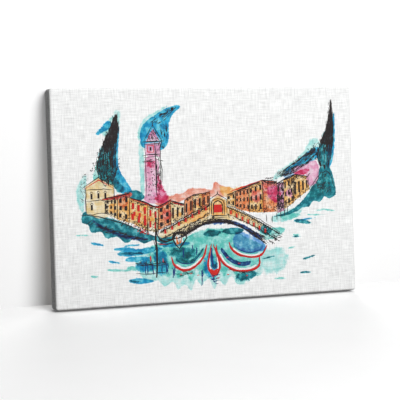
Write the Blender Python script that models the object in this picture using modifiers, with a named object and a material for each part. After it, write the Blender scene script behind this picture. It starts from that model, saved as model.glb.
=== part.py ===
"""A canvas picture wrapped round a keyed pine stretcher frame, with its hangers and wall bumpers.

Metres, +Z up. The picture faces -Y and +X is its right side as seen from the front. The origin is under
the middle of the picture, on the surface that its lower edge stands on.
"""

import math

import bmesh
import bpy
from mathutils import Matrix, Vector

# Wrapped canvas
PICTURE_WIDTH = 0.600
PICTURE_HEIGHT = 0.400
CANVAS_THICKNESS = 0.0006
CANVAS_EDGE_RADIUS = 0.0035
FLANGE_WIDTH = 0.025  # canvas turned over onto the back of the frame
GAP = 0.0003  # between pieces that touch

# Stretcher bars
BAR_WIDTH = 0.038
BAR_DEPTH = 0.036
OUTER_EDGE_RADIUS = 0.003  # under the canvas
INNER_CHAMFER = 0.0015
BEAD_FLAT = 0.004  # the raised lip that carries the canvas, from the outer edge
BEAD_FOOT = 0.007
BEAD_HEIGHT = 0.0022
FRONT_SLOPE = 0.001  # further fall from the bead's foot to the inner edge
TONGUE_START = 0.0145  # depth from the front at which the first tongue begins
TONGUE_THICKNESS = 0.0035
KEY_ROOM = 0.010  # how much longer a slot is than the tongue in it
FRAME_CORNER_RADIUS = 0.006

# Corner keys
KEY_LENGTH = 0.040
KEY_INSERTED = 0.022
KEY_TIP_WIDTH = 0.005
KEY_TAPER = 0.175  # growth in width for each unit of length
KEY_TIP_CHAMFER = 0.0015

# Staples
STAPLE_CROWN = 0.010
STAPLE_LEG = 0.006
STAPLE_WIRE_WIDTH = 0.0012
STAPLE_WIRE_THICKNESS = 0.0006
STAPLE_END_DISTANCE = 0.060  # from a corner to the first staple
STAPLES_LONG = 9
STAPLES_SHORT = 6

# Hangers
RING_WIRE_RADIUS = 0.001
RING_HALF_WIDTH = 0.0065
RING_SIDE = 0.008
RING_BORE_CLEARANCE = 0.00025
STRAP_METAL = 0.0008
STRAP_WIDTH = 0.0095
STRAP_END = 0.0129  # from the ring's axis to the strap's rounded end
SCREW_FROM_AXIS = 0.008
HANGER_DROP = 0.110  # from the top of the picture down to the ring's axis

# Hanger screws
SCREW_SHANK_RADIUS = 0.00175
SCREW_LENGTH = 0.012
SCREW_POINT = 0.003
SCREW_HEAD_RADIUS = 0.0035
SCREW_HEAD_HEIGHT = 0.0022
RECESS_LENGTH = 0.0038
RECESS_WIDTH = 0.0008
RECESS_DEPTH = 0.0009

# Wall bumpers
BUMPER_RADIUS = 0.006
BUMPER_HEIGHT = 0.0039
BUMPER_BEVEL = 0.0008
BUMPER_INSET = 0.014

OVERSHOOT = 0.002  # how far a cutter runs past what it cuts
ROUND_STEPS = 20

# Places worked out from the sizes above
WRAP = CANVAS_THICKNESS + GAP
FRAME_WIDTH = PICTURE_WIDTH - 2 * WRAP
FRAME_HEIGHT = PICTURE_HEIGHT - 2 * WRAP
TOTAL_DEPTH = BAR_DEPTH + 2 * WRAP + GAP + BUMPER_HEIGHT
CANVAS_FRONT_Y = -TOTAL_DEPTH / 2
BAR_FRONT_Y = CANVAS_FRONT_Y + WRAP
WOOD_BACK_Y = BAR_FRONT_Y + BAR_DEPTH
CANVAS_BACK_Y = WOOD_BACK_Y + WRAP
FRAME_MIDDLE_Z = PICTURE_HEIGHT / 2
FIRST_LAYER = (TONGUE_START, TONGUE_START + TONGUE_THICKNESS)
SECOND_LAYER = (FIRST_LAYER[1], FIRST_LAYER[1] + TONGUE_THICKNESS)
BARE_WOOD_X = PICTURE_WIDTH / 2 - (FLANGE_WIDTH + WRAP + BAR_WIDTH) / 2
RING_AXIS_Z = PICTURE_HEIGHT - HANGER_DROP
LOOP_BORE = RING_WIRE_RADIUS + RING_BORE_CLEARANCE
LOOP_RADIUS = LOOP_BORE + STRAP_METAL
STRAP_BACK_Y = WOOD_BACK_Y + GAP
RING_AXIS_Y = STRAP_BACK_Y + LOOP_RADIUS
STRAP_THICKNESS = 2 * STRAP_METAL


def clear_scene():
    for thing in list(bpy.data.objects):
        bpy.data.objects.remove(thing, do_unlink=True)


def collection(name):
    group = bpy.data.collections.get(name) or bpy.data.collections.new(name)
    if name not in bpy.context.scene.collection.children:
        bpy.context.scene.collection.children.link(group)
    return group


def material(name, colour, roughness, metallic=0.0):
    made = bpy.data.materials.new(name)
    made.use_nodes = True
    shader = made.node_tree.nodes["Principled BSDF"]
    shader.inputs["Base Color"].default_value = (*colour, 1.0)
    shader.inputs["Roughness"].default_value = roughness
    shader.inputs["Metallic"].default_value = metallic
    return made


def add(name, mesh, group, look=None):
    thing = bpy.data.objects.new(name, mesh)
    group.objects.link(thing)
    if look:
        mesh.materials.clear()
        mesh.materials.append(look)
    return thing


def as_cutter(thing):
    thing.hide_render = True
    thing.display_type = "WIRE"
    return thing


def shade_round(mesh):
    mesh.shade_smooth()
    mesh.set_sharp_from_angle(angle=math.radians(35))


def box_mesh(name, low, high):
    """A box between two corners."""
    low, high = Vector(low), Vector(high)
    shape = bmesh.new()
    bmesh.ops.create_cube(shape, size=1.0)
    bmesh.ops.scale(shape, vec=high - low, verts=shape.verts)
    bmesh.ops.translate(shape, vec=(low + high) / 2, verts=shape.verts)
    mesh = bpy.data.meshes.new(name)
    shape.to_mesh(mesh)
    shape.free()
    return mesh


def boxes_mesh(name, corners):
    """Separate boxes in one mesh, for a cutter that makes many holes."""
    shape = bmesh.new()
    for low, high in corners:
        one = box_mesh(name, low, high)
        shape.from_mesh(one)
        bpy.data.meshes.remove(one)
    mesh = bpy.data.meshes.new(name)
    shape.to_mesh(mesh)
    shape.free()
    return mesh


def outline_mesh(name, outlines, thickness, turn):
    """A flat outline, with any holes, drawn in XY and made thickness deep along Z, then turned."""
    curve = bpy.data.curves.new(name, "CURVE")
    curve.dimensions = "2D"
    curve.fill_mode = "BOTH"
    curve.extrude = thickness / 2
    for points in outlines:
        spline = curve.splines.new("POLY")
        spline.points.add(len(points) - 1)
        for spot, (x, y) in zip(spline.points, points):
            spot.co = (x, y, 0.0, 1.0)
        spline.use_cyclic_u = True
    drawn = bpy.data.objects.new(name, curve)
    bpy.context.scene.collection.objects.link(drawn)
    bpy.context.view_layer.update()
    evaluated = drawn.evaluated_get(bpy.context.evaluated_depsgraph_get())
    mesh = bpy.data.meshes.new_from_object(evaluated)
    bpy.data.objects.remove(drawn, do_unlink=True)
    bpy.data.curves.remove(curve)
    mesh.name = name
    mesh.transform(turn)
    tidy = bmesh.new()
    tidy.from_mesh(mesh)
    bmesh.ops.remove_doubles(tidy, verts=tidy.verts, dist=1e-6)
    bmesh.ops.recalc_face_normals(tidy, faces=tidy.faces)
    tidy.to_mesh(mesh)
    tidy.free()
    return mesh


def arc(centre, radius, start, end, steps):
    """Points along an arc, with its angles in degrees, both ends included."""
    points = []
    for i in range(steps + 1):
        angle = math.radians(start + (end - start) * i / steps)
        points.append((centre[0] + radius * math.cos(angle), centre[1] + radius * math.sin(angle)))
    return points


def boolean(thing, cutter, operation="DIFFERENCE"):
    cut = thing.modifiers.new(cutter.name, "BOOLEAN")
    cut.operation = operation
    cut.solver = "EXACT"
    cut.object = cutter


def bevel(thing, width, segments):
    edge = thing.modifiers.new("rounded_edges", "BEVEL")
    edge.width = width
    edge.segments = segments
    edge.limit_method = "ANGLE"


# Plan turns: an outline drawn in XY stands up in XZ (Y becomes Z), or runs along X as a bar's section.
UPRIGHT = Matrix(((1, 0, 0, 0), (0, 0, -1, 0), (0, 1, 0, 0), (0, 0, 0, 1)))
ALONG_X = Matrix(((0, 0, 1, 0), (1, 0, 0, 0), (0, 1, 0, 0), (0, 0, 0, 1)))


def bar_section():
    """A bar's section: depth from the front along the first axis, minus distance inwards along the second."""
    r = OUTER_EDGE_RADIUS
    c = INNER_CHAMFER
    inner_front = BEAD_HEIGHT + FRONT_SLOPE
    points = arc((r, -r), r, 90, 180, 3)
    points += [(0.0, -BEAD_FLAT), (BEAD_HEIGHT, -BEAD_FOOT)]
    points += [(inner_front, -BAR_WIDTH + c), (inner_front + c, -BAR_WIDTH)]
    points += [(BAR_DEPTH - c, -BAR_WIDTH), (BAR_DEPTH, -BAR_WIDTH + c)]
    points += arc((BAR_DEPTH - r, -r), r, 0, 90, 3)
    return points


def mitre_cutter(name, length, depth_range, cutters):
    """Both ends' triangles beyond the 45 degree mitre, through a range of depths."""
    side = GAP / math.sqrt(2)
    low, high = depth_range
    shape = bmesh.new()
    for end in (-1, 1):
        outline = [
            (end * (length / 2 + OVERSHOOT - side), OVERSHOOT),
            (end * (length / 2 + 2 * OVERSHOOT), OVERSHOOT),
            (end * (length / 2 + 2 * OVERSHOOT), -BAR_WIDTH - OVERSHOOT),
            (end * (length / 2 - BAR_WIDTH - OVERSHOOT - side), -BAR_WIDTH - OVERSHOOT),
        ]
        one = outline_mesh(name, [outline], high - low, UPRIGHT)
        one.transform(Matrix.Translation((0, (low + high) / 2, 0)))
        shape.from_mesh(one)
        bpy.data.meshes.remove(one)
    bmesh.ops.recalc_face_normals(shape, faces=shape.faces)
    mesh = bpy.data.meshes.new(name)
    shape.to_mesh(mesh)
    shape.free()
    return as_cutter(add(name, mesh, cutters))


def slot_cutter(name, length, layer, cutters):
    """The open slot at both ends of a bar, for the neighbour's tongue and its key."""
    reach = BAR_WIDTH + KEY_ROOM
    corners = []
    for end in (-1, 1):
        ends = sorted((end * (length / 2 + OVERSHOOT), end * (length / 2 - reach)))
        low = (ends[0], layer[0] - GAP / 2, -BAR_WIDTH - OVERSHOOT)
        high = (ends[1], layer[1] + GAP / 2, OVERSHOOT)
        corners.append((low, high))
    return as_cutter(add(name, boxes_mesh(name, corners), cutters))


def stretcher_bar(name, length, place, turn, tongue, slot, look, parts, cutters):
    """A bar with a mitre, a tongue and a slot at each end. Its origin is on its outer front edge."""
    mesh = outline_mesh(name, [bar_section()], length, ALONG_X)
    bar = add(name, mesh, parts, look)
    front = mitre_cutter(name + "_front_mitre", length, (-OVERSHOOT, tongue[0] + GAP / 2), cutters)
    back = mitre_cutter(name + "_back_mitre", length, (tongue[1] - GAP / 2, BAR_DEPTH + OVERSHOOT), cutters)
    slots = slot_cutter(name + "_slots", length, slot, cutters)
    for thing in (bar, front, back, slots):
        thing.location = place
        thing.rotation_euler = (0, turn, 0)
    for cutter in (front, back, slots):
        boolean(bar, cutter)
    return bar


def frame_envelope(cutters):
    """The assembled frame's outside, with rounded corners."""
    half = FRAME_WIDTH / 2
    low = FRAME_MIDDLE_Z - FRAME_HEIGHT / 2
    high = FRAME_MIDDLE_Z + FRAME_HEIGHT / 2
    r = FRAME_CORNER_RADIUS
    outline = arc((half - r, high - r), r, 0, 90, 3)
    outline += arc((-half + r, high - r), r, 90, 180, 3)
    outline += arc((-half + r, low + r), r, 180, 270, 3)
    outline += arc((half - r, low + r), r, 270, 360, 3)
    mesh = outline_mesh("frame_envelope", [outline], BAR_DEPTH + 2 * OVERSHOOT, UPRIGHT)
    envelope = as_cutter(add("frame_envelope", mesh, cutters))
    envelope.location = (0, BAR_FRONT_Y + BAR_DEPTH / 2, 0)
    return envelope


def stretcher_frame(look, parts, cutters):
    """Four bars round the frame, by side name."""
    envelope = frame_envelope(cutters)
    half_w, half_h = FRAME_WIDTH / 2, FRAME_HEIGHT / 2
    sides = {
        "top": (FRAME_WIDTH, (0, BAR_FRONT_Y, FRAME_MIDDLE_Z + half_h), 0.0),
        "bottom": (FRAME_WIDTH, (0, BAR_FRONT_Y, FRAME_MIDDLE_Z - half_h), math.pi),
        "left": (FRAME_HEIGHT, (-half_w, BAR_FRONT_Y, FRAME_MIDDLE_Z), -math.pi / 2),
        "right": (FRAME_HEIGHT, (half_w, BAR_FRONT_Y, FRAME_MIDDLE_Z), math.pi / 2),
    }
    bars = {}
    for side, (length, place, turn) in sides.items():
        level = side in ("top", "bottom")
        tongue = FIRST_LAYER if level else SECOND_LAYER
        slot = SECOND_LAYER if level else FIRST_LAYER
        name = "stretcher_bar_" + side
        bars[side] = stretcher_bar(name, length, place, turn, tongue, slot, look, parts, cutters)
        boolean(bars[side], envelope, "INTERSECT")
    return bars


def wrapped_canvas(look, parts, cutters):
    """The cloth as one thin tray: front, four sides and the flanges on the back."""
    half = PICTURE_WIDTH / 2
    canvas = add(
        "canvas",
        box_mesh("canvas", (-half, CANVAS_FRONT_Y, 0), (half, CANVAS_BACK_Y, PICTURE_HEIGHT)),
        parts,
        look,
    )
    bevel(canvas, CANVAS_EDGE_RADIUS, 3)
    t = CANVAS_THICKNESS
    low = (-half + t, CANVAS_FRONT_Y + t, t)
    high = (half - t, CANVAS_BACK_Y - t, PICTURE_HEIGHT - t)
    cavity = as_cutter(add("canvas_cavity", box_mesh("canvas_cavity", low, high), cutters))
    bevel(cavity, CANVAS_EDGE_RADIUS - t, 3)
    low = (-half + FLANGE_WIDTH, (CANVAS_FRONT_Y + CANVAS_BACK_Y) / 2, FLANGE_WIDTH)
    high = (half - FLANGE_WIDTH, CANVAS_BACK_Y + OVERSHOOT, PICTURE_HEIGHT - FLANGE_WIDTH)
    window = as_cutter(add("canvas_window", box_mesh("canvas_window", low, high), cutters))
    boolean(canvas, cavity)
    boolean(canvas, window)
    return canvas


def corner_key(name, slide_way, width_way, place, look, parts):
    """A flat wedge. Its straight edge lies on its slide axis, with the origin where it leaves the slot."""
    tip = -KEY_INSERTED
    head = KEY_LENGTH - KEY_INSERTED
    c = KEY_TIP_CHAMFER
    outline = [
        (tip + c, 0.0),
        (head, 0.0),
        (head, KEY_TIP_WIDTH + KEY_TAPER * KEY_LENGTH),
        (tip + c, KEY_TIP_WIDTH + KEY_TAPER * c),
        (tip, KEY_TIP_WIDTH - c),
        (tip, c),
    ]
    mesh = outline_mesh(name, [outline], TONGUE_THICKNESS - GAP, UPRIGHT)
    key = add(name, mesh, parts, look)
    out, side = Vector(slide_way), Vector(width_way)
    turn = Matrix((out, side.cross(out), side)).transposed().to_4x4()
    key.matrix_world = Matrix.Translation(place) @ turn
    return key


def corner_keys(look, parts):
    """Two keys at each corner: one lies along the level bar and one along the upright bar."""
    inner_x = FRAME_WIDTH / 2 - BAR_WIDTH
    inner_z = FRAME_HEIGHT / 2 - BAR_WIDTH
    first_y = BAR_FRONT_Y + sum(FIRST_LAYER) / 2
    second_y = BAR_FRONT_Y + sum(SECOND_LAYER) / 2
    for up, level_name in ((1, "top"), (-1, "bottom")):
        for right, side_name in ((1, "right"), (-1, "left")):
            corner = level_name + "_" + side_name
            edge_z = FRAME_MIDDLE_Z + up * (inner_z - GAP)
            place = (right * inner_x, first_y, edge_z)
            corner_key("key_level_" + corner, (-right, 0, 0), (0, 0, -up), place, look, parts)
            edge_x = right * (inner_x - GAP)
            place = (edge_x, second_y, FRAME_MIDDLE_Z + up * inner_z)
            corner_key("key_upright_" + corner, (0, 0, -up), (-right, 0, 0), place, look, parts)


def staple_mesh():
    """A staple with its crown along X and its legs towards -Y; the origin is under the crown."""
    half, wire, leg = STAPLE_CROWN / 2, STAPLE_WIRE_THICKNESS, STAPLE_LEG
    chamfer = wire / 2
    outline = [
        (-half, -leg),
        (-half + wire, -leg),
        (-half + wire, 0.0),
        (half - wire, 0.0),
        (half - wire, -leg),
        (half, -leg),
        (half, wire - chamfer),
        (half - chamfer, wire),
        (-half + chamfer, wire),
        (-half, wire - chamfer),
    ]
    return outline_mesh("staple", [outline], STAPLE_WIRE_WIDTH, Matrix.Identity(4))


def staple_places():
    """Each side's staples as (x, z), with whether their crowns stand upright."""
    line = FLANGE_WIDTH / 2
    places = {}
    for side in ("top", "bottom", "left", "right"):
        level = side in ("top", "bottom")
        count = STAPLES_LONG if level else STAPLES_SHORT
        length = PICTURE_WIDTH if level else PICTURE_HEIGHT
        step = (length - 2 * STAPLE_END_DISTANCE) / (count - 1)
        along = [STAPLE_END_DISTANCE - length / 2 + i * step for i in range(count)]
        if level:
            z = PICTURE_HEIGHT - line if side == "top" else line
            places[side] = [(x, z) for x in along]
        else:
            x = PICTURE_WIDTH / 2 - line if side == "right" else line - PICTURE_WIDTH / 2
            places[side] = [(x, PICTURE_HEIGHT / 2 + z) for z in along]
    return places


def staples(look, parts, cutters, bars, canvas):
    """Staples through the flange into each bar, with a clearance hole round every leg."""
    mesh = staple_mesh()
    mesh.materials.append(look)
    crown_y = CANVAS_BACK_Y + GAP
    tip_y = crown_y - STAPLE_LEG - GAP
    reach = STAPLE_CROWN / 2 - STAPLE_WIRE_THICKNESS / 2
    across = STAPLE_WIRE_WIDTH / 2 + GAP
    along = STAPLE_WIRE_THICKNESS / 2 + GAP
    for side, places in staple_places().items():
        level = side in ("top", "bottom")
        holes = []
        for i, (x, z) in enumerate(places):
            staple = add(f"staple_{side}_{i + 1}", mesh, parts)
            staple.location = (x, crown_y, z)
            staple.rotation_euler = (0, 0 if level else math.pi / 2, 0)
            for leg in (-reach, reach):
                centre = (x + leg, z) if level else (x, z + leg)
                half = (along, across) if level else (across, along)
                low = (centre[0] - half[0], tip_y, centre[1] - half[1])
                high = (centre[0] + half[0], crown_y + OVERSHOOT, centre[1] + half[1])
                holes.append((low, high))
        name = "staple_holes_" + side
        cutter = as_cutter(add(name, boxes_mesh(name, holes), cutters))
        boolean(bars[side], cutter)
        boolean(canvas, cutter)


def hanger_ring(name, place, look, parts):
    """A D ring hanging below its straight side, which is its hinge axis and its origin."""
    low = -RING_SIDE
    route = [(RING_HALF_WIDTH, 0.0)]
    route += [(RING_HALF_WIDTH * x, low + RING_HALF_WIDTH * z) for x, z in arc((0, 0), 1, 0, -180, 14)]
    route += [(-RING_HALF_WIDTH, 0.0)]
    curve = bpy.data.curves.new(name, "CURVE")
    curve.dimensions = "3D"
    curve.bevel_depth = RING_WIRE_RADIUS
    curve.bevel_resolution = 2
    spline = curve.splines.new("POLY")
    spline.points.add(len(route) - 1)
    for spot, (x, z) in zip(spline.points, route):
        spot.co = (x, 0.0, z, 1.0)
    spline.use_cyclic_u = True
    drawn = bpy.data.objects.new(name, curve)
    bpy.context.scene.collection.objects.link(drawn)
    bpy.context.view_layer.update()
    mesh = bpy.data.meshes.new_from_object(drawn.evaluated_get(bpy.context.evaluated_depsgraph_get()))
    bpy.data.objects.remove(drawn, do_unlink=True)
    bpy.data.curves.remove(curve)
    shade_round(mesh)
    ring = add(name, mesh, parts, look)
    ring.location = place
    return ring


def hanger_strap(name, place, look, parts, cutters):
    """A folded strap: a loop round the ring's straight side and a plate with a round end below it."""
    face = STRAP_THICKNESS - LOOP_RADIUS
    meets = -math.degrees(math.acos(face / LOOP_RADIUS))
    section = [(-LOOP_RADIUS, -STRAP_END - OVERSHOOT)]
    section += arc((0, 0), LOOP_RADIUS, 180, meets, ROUND_STEPS)
    section += [(face, -STRAP_END - OVERSHOOT)]
    bore = arc((0, 0), LOOP_BORE, 0, 360 - 360 / ROUND_STEPS, ROUND_STEPS - 1)
    strap = add(name, outline_mesh(name, [section, bore], STRAP_WIDTH + OVERSHOOT, ALONG_X), parts, look)
    strap.location = place
    half = STRAP_WIDTH / 2
    plan = arc((0, half - STRAP_END), half, 180, 360, ROUND_STEPS // 2)
    plan = [(-half, 2 * LOOP_RADIUS)] + plan + [(half, 2 * LOOP_RADIUS)]
    outside = outline_mesh(name + "_plan", [plan], 4 * LOOP_RADIUS, UPRIGHT)
    outside = as_cutter(add(name + "_plan", outside, cutters))
    outside.location = place
    boolean(strap, outside, "INTERSECT")
    return strap


def turned_mesh(name, profile, steps):
    """A profile of (radius, height) from the top down, turned round Z, with its ends on the axis."""
    mesh = bpy.data.meshes.new(name)
    mesh.from_pydata([(r, 0.0, z) for r, z in profile], [(i, i + 1) for i in range(len(profile) - 1)], [])
    drawn = bpy.data.objects.new(name, mesh)
    bpy.context.scene.collection.objects.link(drawn)
    screw = drawn.modifiers.new("turn", "SCREW")
    screw.steps = steps
    screw.render_steps = steps
    screw.use_merge_vertices = True
    screw.merge_threshold = 1e-6
    bpy.context.view_layer.update()
    turned = bpy.data.meshes.new_from_object(drawn.evaluated_get(bpy.context.evaluated_depsgraph_get()))
    bpy.data.objects.remove(drawn, do_unlink=True)
    bpy.data.meshes.remove(mesh)
    turned.name = name
    tidy = bmesh.new()
    tidy.from_mesh(turned)
    bmesh.ops.remove_doubles(tidy, verts=tidy.verts, dist=1e-6)
    bmesh.ops.recalc_face_normals(tidy, faces=tidy.faces)
    tidy.to_mesh(turned)
    tidy.free()
    shade_round(turned)
    return turned


def hanger_screw(name, place, look, parts, cutters):
    """A round-head wood screw. The origin is under its head, and its point is towards -Y."""
    r, h = SCREW_HEAD_RADIUS, SCREW_HEAD_HEIGHT
    profile = [(r * math.sin(a), h * math.cos(a)) for a in (math.radians(18 * i) for i in range(5))]
    profile += [(r, 0.0), (SCREW_SHANK_RADIUS, 0.0)]
    profile += [(SCREW_SHANK_RADIUS, SCREW_POINT - SCREW_LENGTH), (0.0, -SCREW_LENGTH)]
    mesh = turned_mesh(name, profile, ROUND_STEPS)
    mesh.transform(Matrix.Rotation(-math.pi / 2, 4, "X"))
    screw = add(name, mesh, parts, look)
    screw.location = place
    half, wide = RECESS_LENGTH / 2, RECESS_WIDTH / 2
    floor, top = h - RECESS_DEPTH, h + OVERSHOOT
    for way, size in (("level", (half, wide)), ("upright", (wide, half))):
        low, high = (-size[0], floor, -size[1]), (size[0], top, size[1])
        name_of_cut = f"{name}_recess_{way}"
        slot = as_cutter(add(name_of_cut, box_mesh(name_of_cut, low, high), cutters))
        slot.location = place
        boolean(screw, slot)
    return screw


def screw_hole(name, place, cutters):
    """A round clearance hole for a screw's shank, from past its strap to past its point."""
    mesh = bpy.data.meshes.new(name)
    shape = bmesh.new()
    depth = SCREW_LENGTH + GAP
    radius = SCREW_SHANK_RADIUS + GAP
    bmesh.ops.create_cone(
        shape,
        cap_ends=True,
        segments=ROUND_STEPS,
        radius1=radius / math.cos(math.pi / ROUND_STEPS),
        radius2=radius / math.cos(math.pi / ROUND_STEPS),
        depth=depth + OVERSHOOT,
    )
    bmesh.ops.rotate(shape, matrix=Matrix.Rotation(math.pi / 2, 3, "X"), verts=shape.verts)
    bmesh.ops.translate(shape, vec=(0, (OVERSHOOT - depth) / 2, 0), verts=shape.verts)
    shape.to_mesh(mesh)
    shape.free()
    hole = as_cutter(add(name, mesh, cutters))
    hole.location = place
    return hole


def hangers(metal, screw_metal, parts, cutters, bars):
    """A ring, a strap and a screw on the bare wood of each upright bar."""
    for right, side in ((-1, "left"), (1, "right")):
        axis = (right * BARE_WOOD_X, RING_AXIS_Y, RING_AXIS_Z)
        hanger_ring("hanger_ring_" + side, axis, metal, parts)
        strap = hanger_strap("hanger_strap_" + side, axis, metal, parts, cutters)
        head_y = STRAP_BACK_Y + STRAP_THICKNESS + GAP
        place = (axis[0], head_y, RING_AXIS_Z - SCREW_FROM_AXIS)
        hanger_screw("hanger_screw_" + side, place, screw_metal, parts, cutters)
        hole = screw_hole("screw_hole_" + side, place, cutters)
        boolean(strap, hole)
        boolean(bars[side], hole)


def wall_bumpers(look, parts):
    """Round pads on the back of the two lower corners. Each origin is on the pad's underside."""
    for right, side in ((-1, "left"), (1, "right")):
        name = "wall_bumper_" + side
        h, b, r = BUMPER_HEIGHT, BUMPER_BEVEL, BUMPER_RADIUS
        crown = arc((r - b, h - b), b, 90, 0, 3)
        mesh = turned_mesh(name, [(0.0, h)] + crown + [(r, 0.0), (0.0, 0.0)], 2 * ROUND_STEPS)
        mesh.transform(Matrix.Rotation(-math.pi / 2, 4, "X"))
        bumper = add(name, mesh, parts, look)
        bumper.location = (right * (PICTURE_WIDTH / 2 - BUMPER_INSET), CANVAS_BACK_Y + GAP, BUMPER_INSET)


def main():
    clear_scene()
    parts = collection("canvas_picture")
    cutters = collection("cutters")
    cloth = material("primed_canvas", (0.83, 0.84, 0.80), 0.75)
    pine = material("pine", (0.72, 0.53, 0.33), 0.6)
    beech = material("beech_key", (0.66, 0.45, 0.27), 0.55)
    zinc = material("zinc_plated_steel", (0.62, 0.63, 0.65), 0.3, 1.0)
    nickel = material("nickel_plated_steel", (0.70, 0.68, 0.63), 0.22, 1.0)
    rubber = material("clear_grey_rubber", (0.42, 0.43, 0.44), 0.5)
    bars = stretcher_frame(pine, parts, cutters)
    canvas = wrapped_canvas(cloth, parts, cutters)
    corner_keys(beech, parts)
    staples(zinc, parts, cutters, bars, canvas)
    hangers(nickel, zinc, parts, cutters, bars)
    wall_bumpers(rubber, parts)


main()
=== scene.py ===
"""The looks of a canvas picture on its stretcher frame: cloth, painting, timber, hangers and stage.

It is laid out as an add-on: a property group for what a user would change, an operator for each piece
or group of like pieces, and a panel that lists them. Run as a script it makes everything once.
"""

import math
import random

import bmesh
import bpy
import numpy as np
from bpy.props import FloatProperty, FloatVectorProperty, PointerProperty
from mathutils import Matrix, Vector


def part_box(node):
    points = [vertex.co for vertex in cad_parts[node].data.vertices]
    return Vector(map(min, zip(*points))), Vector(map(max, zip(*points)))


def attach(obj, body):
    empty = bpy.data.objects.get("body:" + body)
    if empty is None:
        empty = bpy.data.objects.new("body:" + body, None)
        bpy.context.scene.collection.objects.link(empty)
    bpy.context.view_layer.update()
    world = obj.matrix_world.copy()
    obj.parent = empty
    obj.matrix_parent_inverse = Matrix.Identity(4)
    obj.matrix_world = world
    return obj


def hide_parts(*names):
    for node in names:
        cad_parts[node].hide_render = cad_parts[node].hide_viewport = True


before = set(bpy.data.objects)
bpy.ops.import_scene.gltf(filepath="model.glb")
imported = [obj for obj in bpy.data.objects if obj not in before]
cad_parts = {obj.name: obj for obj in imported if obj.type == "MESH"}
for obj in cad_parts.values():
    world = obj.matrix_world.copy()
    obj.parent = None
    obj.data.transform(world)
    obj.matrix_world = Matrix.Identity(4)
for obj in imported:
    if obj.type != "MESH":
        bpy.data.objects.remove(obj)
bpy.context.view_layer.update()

bl_info = {
    "name": "Canvas Picture",
    "version": (1, 0, 0),
    "blender": (4, 5, 0),
    "location": "View3D > Sidebar > Picture",
    "description": "Makes a stretched canvas picture with an ink and wash harbour view",
    "category": "Add Mesh",
}

MM = 0.001
ROOT_BODY = "picture_frame"
SEED = 41

canvas_low, canvas_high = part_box("canvas")
PICTURE_WIDTH = canvas_high.x - canvas_low.x
PICTURE_HEIGHT = canvas_high.z - canvas_low.z

# The washes, in the order in which they are laid on the cloth
PIGMENTS = (
    "mist", "aqua", "sky", "periwinkle", "teal", "navy", "salmon",
    "cream", "ochre", "orange", "coral", "pink", "magenta", "umber",
)
# The washes with white in them, which hide what is below
BODY_COLOURS = ("salmon", "cream", "ochre", "orange", "coral", "pink", "magenta")
# The pens, each with how high its line stands on the cloth in millimetres
PENS = {"ink": 0.16, "navy_line": 0.13, "red": 0.15, "white": 0.08, "red_orange": 0.12}


def colour(name, description, default):
    return FloatVectorProperty(
        name=name, description=description, subtype="COLOR", size=3, min=0, max=1, default=default
    )


def length(name, description, default):
    return FloatProperty(name=name, description=description, default=default, min=0, unit="LENGTH")


def power(name, description, default):
    return FloatProperty(name=name, description=description, default=default, min=0)


class ClothProperties(bpy.types.PropertyGroup):
    """Sizes and colours of the cloth."""

    thickness: length("Thickness", "Thickness of the primed cloth", 0.0005)
    flange: length("Turned over", "Width of cloth turned over onto the back", 0.0245)
    edge_radius: length("Edge radius", "Radius of the cloth round the frame's edges", 0.0042)
    corner_radius: length("Corner radius", "Radius of the picture's four corners", 0.0050)
    grid: length("Grid", "Size of the faces on the front", 0.0015)
    thread_pitch: length("Thread pitch", "Distance between the threads of the weave", 0.0021)
    primer: colour("Primer", "Colour of the primed side", (0.80, 0.805, 0.80))
    raw: colour("Raw cloth", "Colour of the unprimed side", (0.60, 0.56, 0.48))


class PaintProperties(bpy.types.PropertyGroup):
    """Colours of the washes and of the pens."""

    mist: colour("Mist", "Palest water", (0.42, 0.80, 0.78))
    aqua: colour("Aqua", "Pale water", (0.20, 0.68, 0.62))
    sky: colour("Sky", "Bright blue", (0.008, 0.30, 0.58))
    periwinkle: colour("Periwinkle", "Pale violet blue", (0.16, 0.40, 0.78))
    teal: colour("Teal", "Deep blue green", (0.003, 0.14, 0.19))
    navy: colour("Navy", "Dark blue", (0.006, 0.035, 0.19))
    salmon: colour("Salmon", "Pale warm sky", (0.86, 0.33, 0.24))
    cream: colour("Cream", "Pale stone", (0.86, 0.66, 0.34))
    ochre: colour("Ochre", "Yellow plaster", (0.90, 0.45, 0.12))
    orange: colour("Orange", "Orange plaster", (0.82, 0.22, 0.07))
    coral: colour("Coral", "Warm red plaster", (0.72, 0.13, 0.09))
    pink: colour("Rose", "Rose", (0.78, 0.33, 0.52))
    magenta: colour("Magenta", "Deep rose", (0.62, 0.04, 0.13))
    umber: colour("Umber", "Brown black shade", (0.009, 0.007, 0.008))
    ink: colour("Ink", "Pen ink", (0.016, 0.011, 0.012))
    navy_line: colour("Navy pen", "Dark blue ink", (0.010, 0.030, 0.16))
    red: colour("Red", "Red gouache", (0.58, 0.025, 0.022))
    red_orange: colour("Lamp orange", "Orange gouache", (0.80, 0.20, 0.03))
    white: colour("White", "White gouache", (0.80, 0.80, 0.79))


class StageProperties(bpy.types.PropertyGroup):
    """How the picture leans, and the light on it."""

    lean: FloatProperty(
        name="Lean", description="How far the picture leans back against the wall",
        default=math.radians(5.5), subtype="ANGLE",
    )
    floor_front: length("Floor in front", "How far the floor reaches in front of the picture", 3.2)
    wall_width: length("Wall width", "Width of the wall and floor", 6.0)
    key: power("Key light", "Power of the main light", 117.0)
    fill: power("Front fill", "Power of the front light", 24.0)
    overhead: power("Overhead", "Power of the light above", 5.0)
    rim: power("Left light", "Power of the light on the left", 0.5)
    back: power("Back light", "Power of the light behind", 52.0)


# ---------------------------------------------------------------------------
# Drawing: outlines and strokes in millimetres from the picture's lower left corner
# ---------------------------------------------------------------------------


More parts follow.
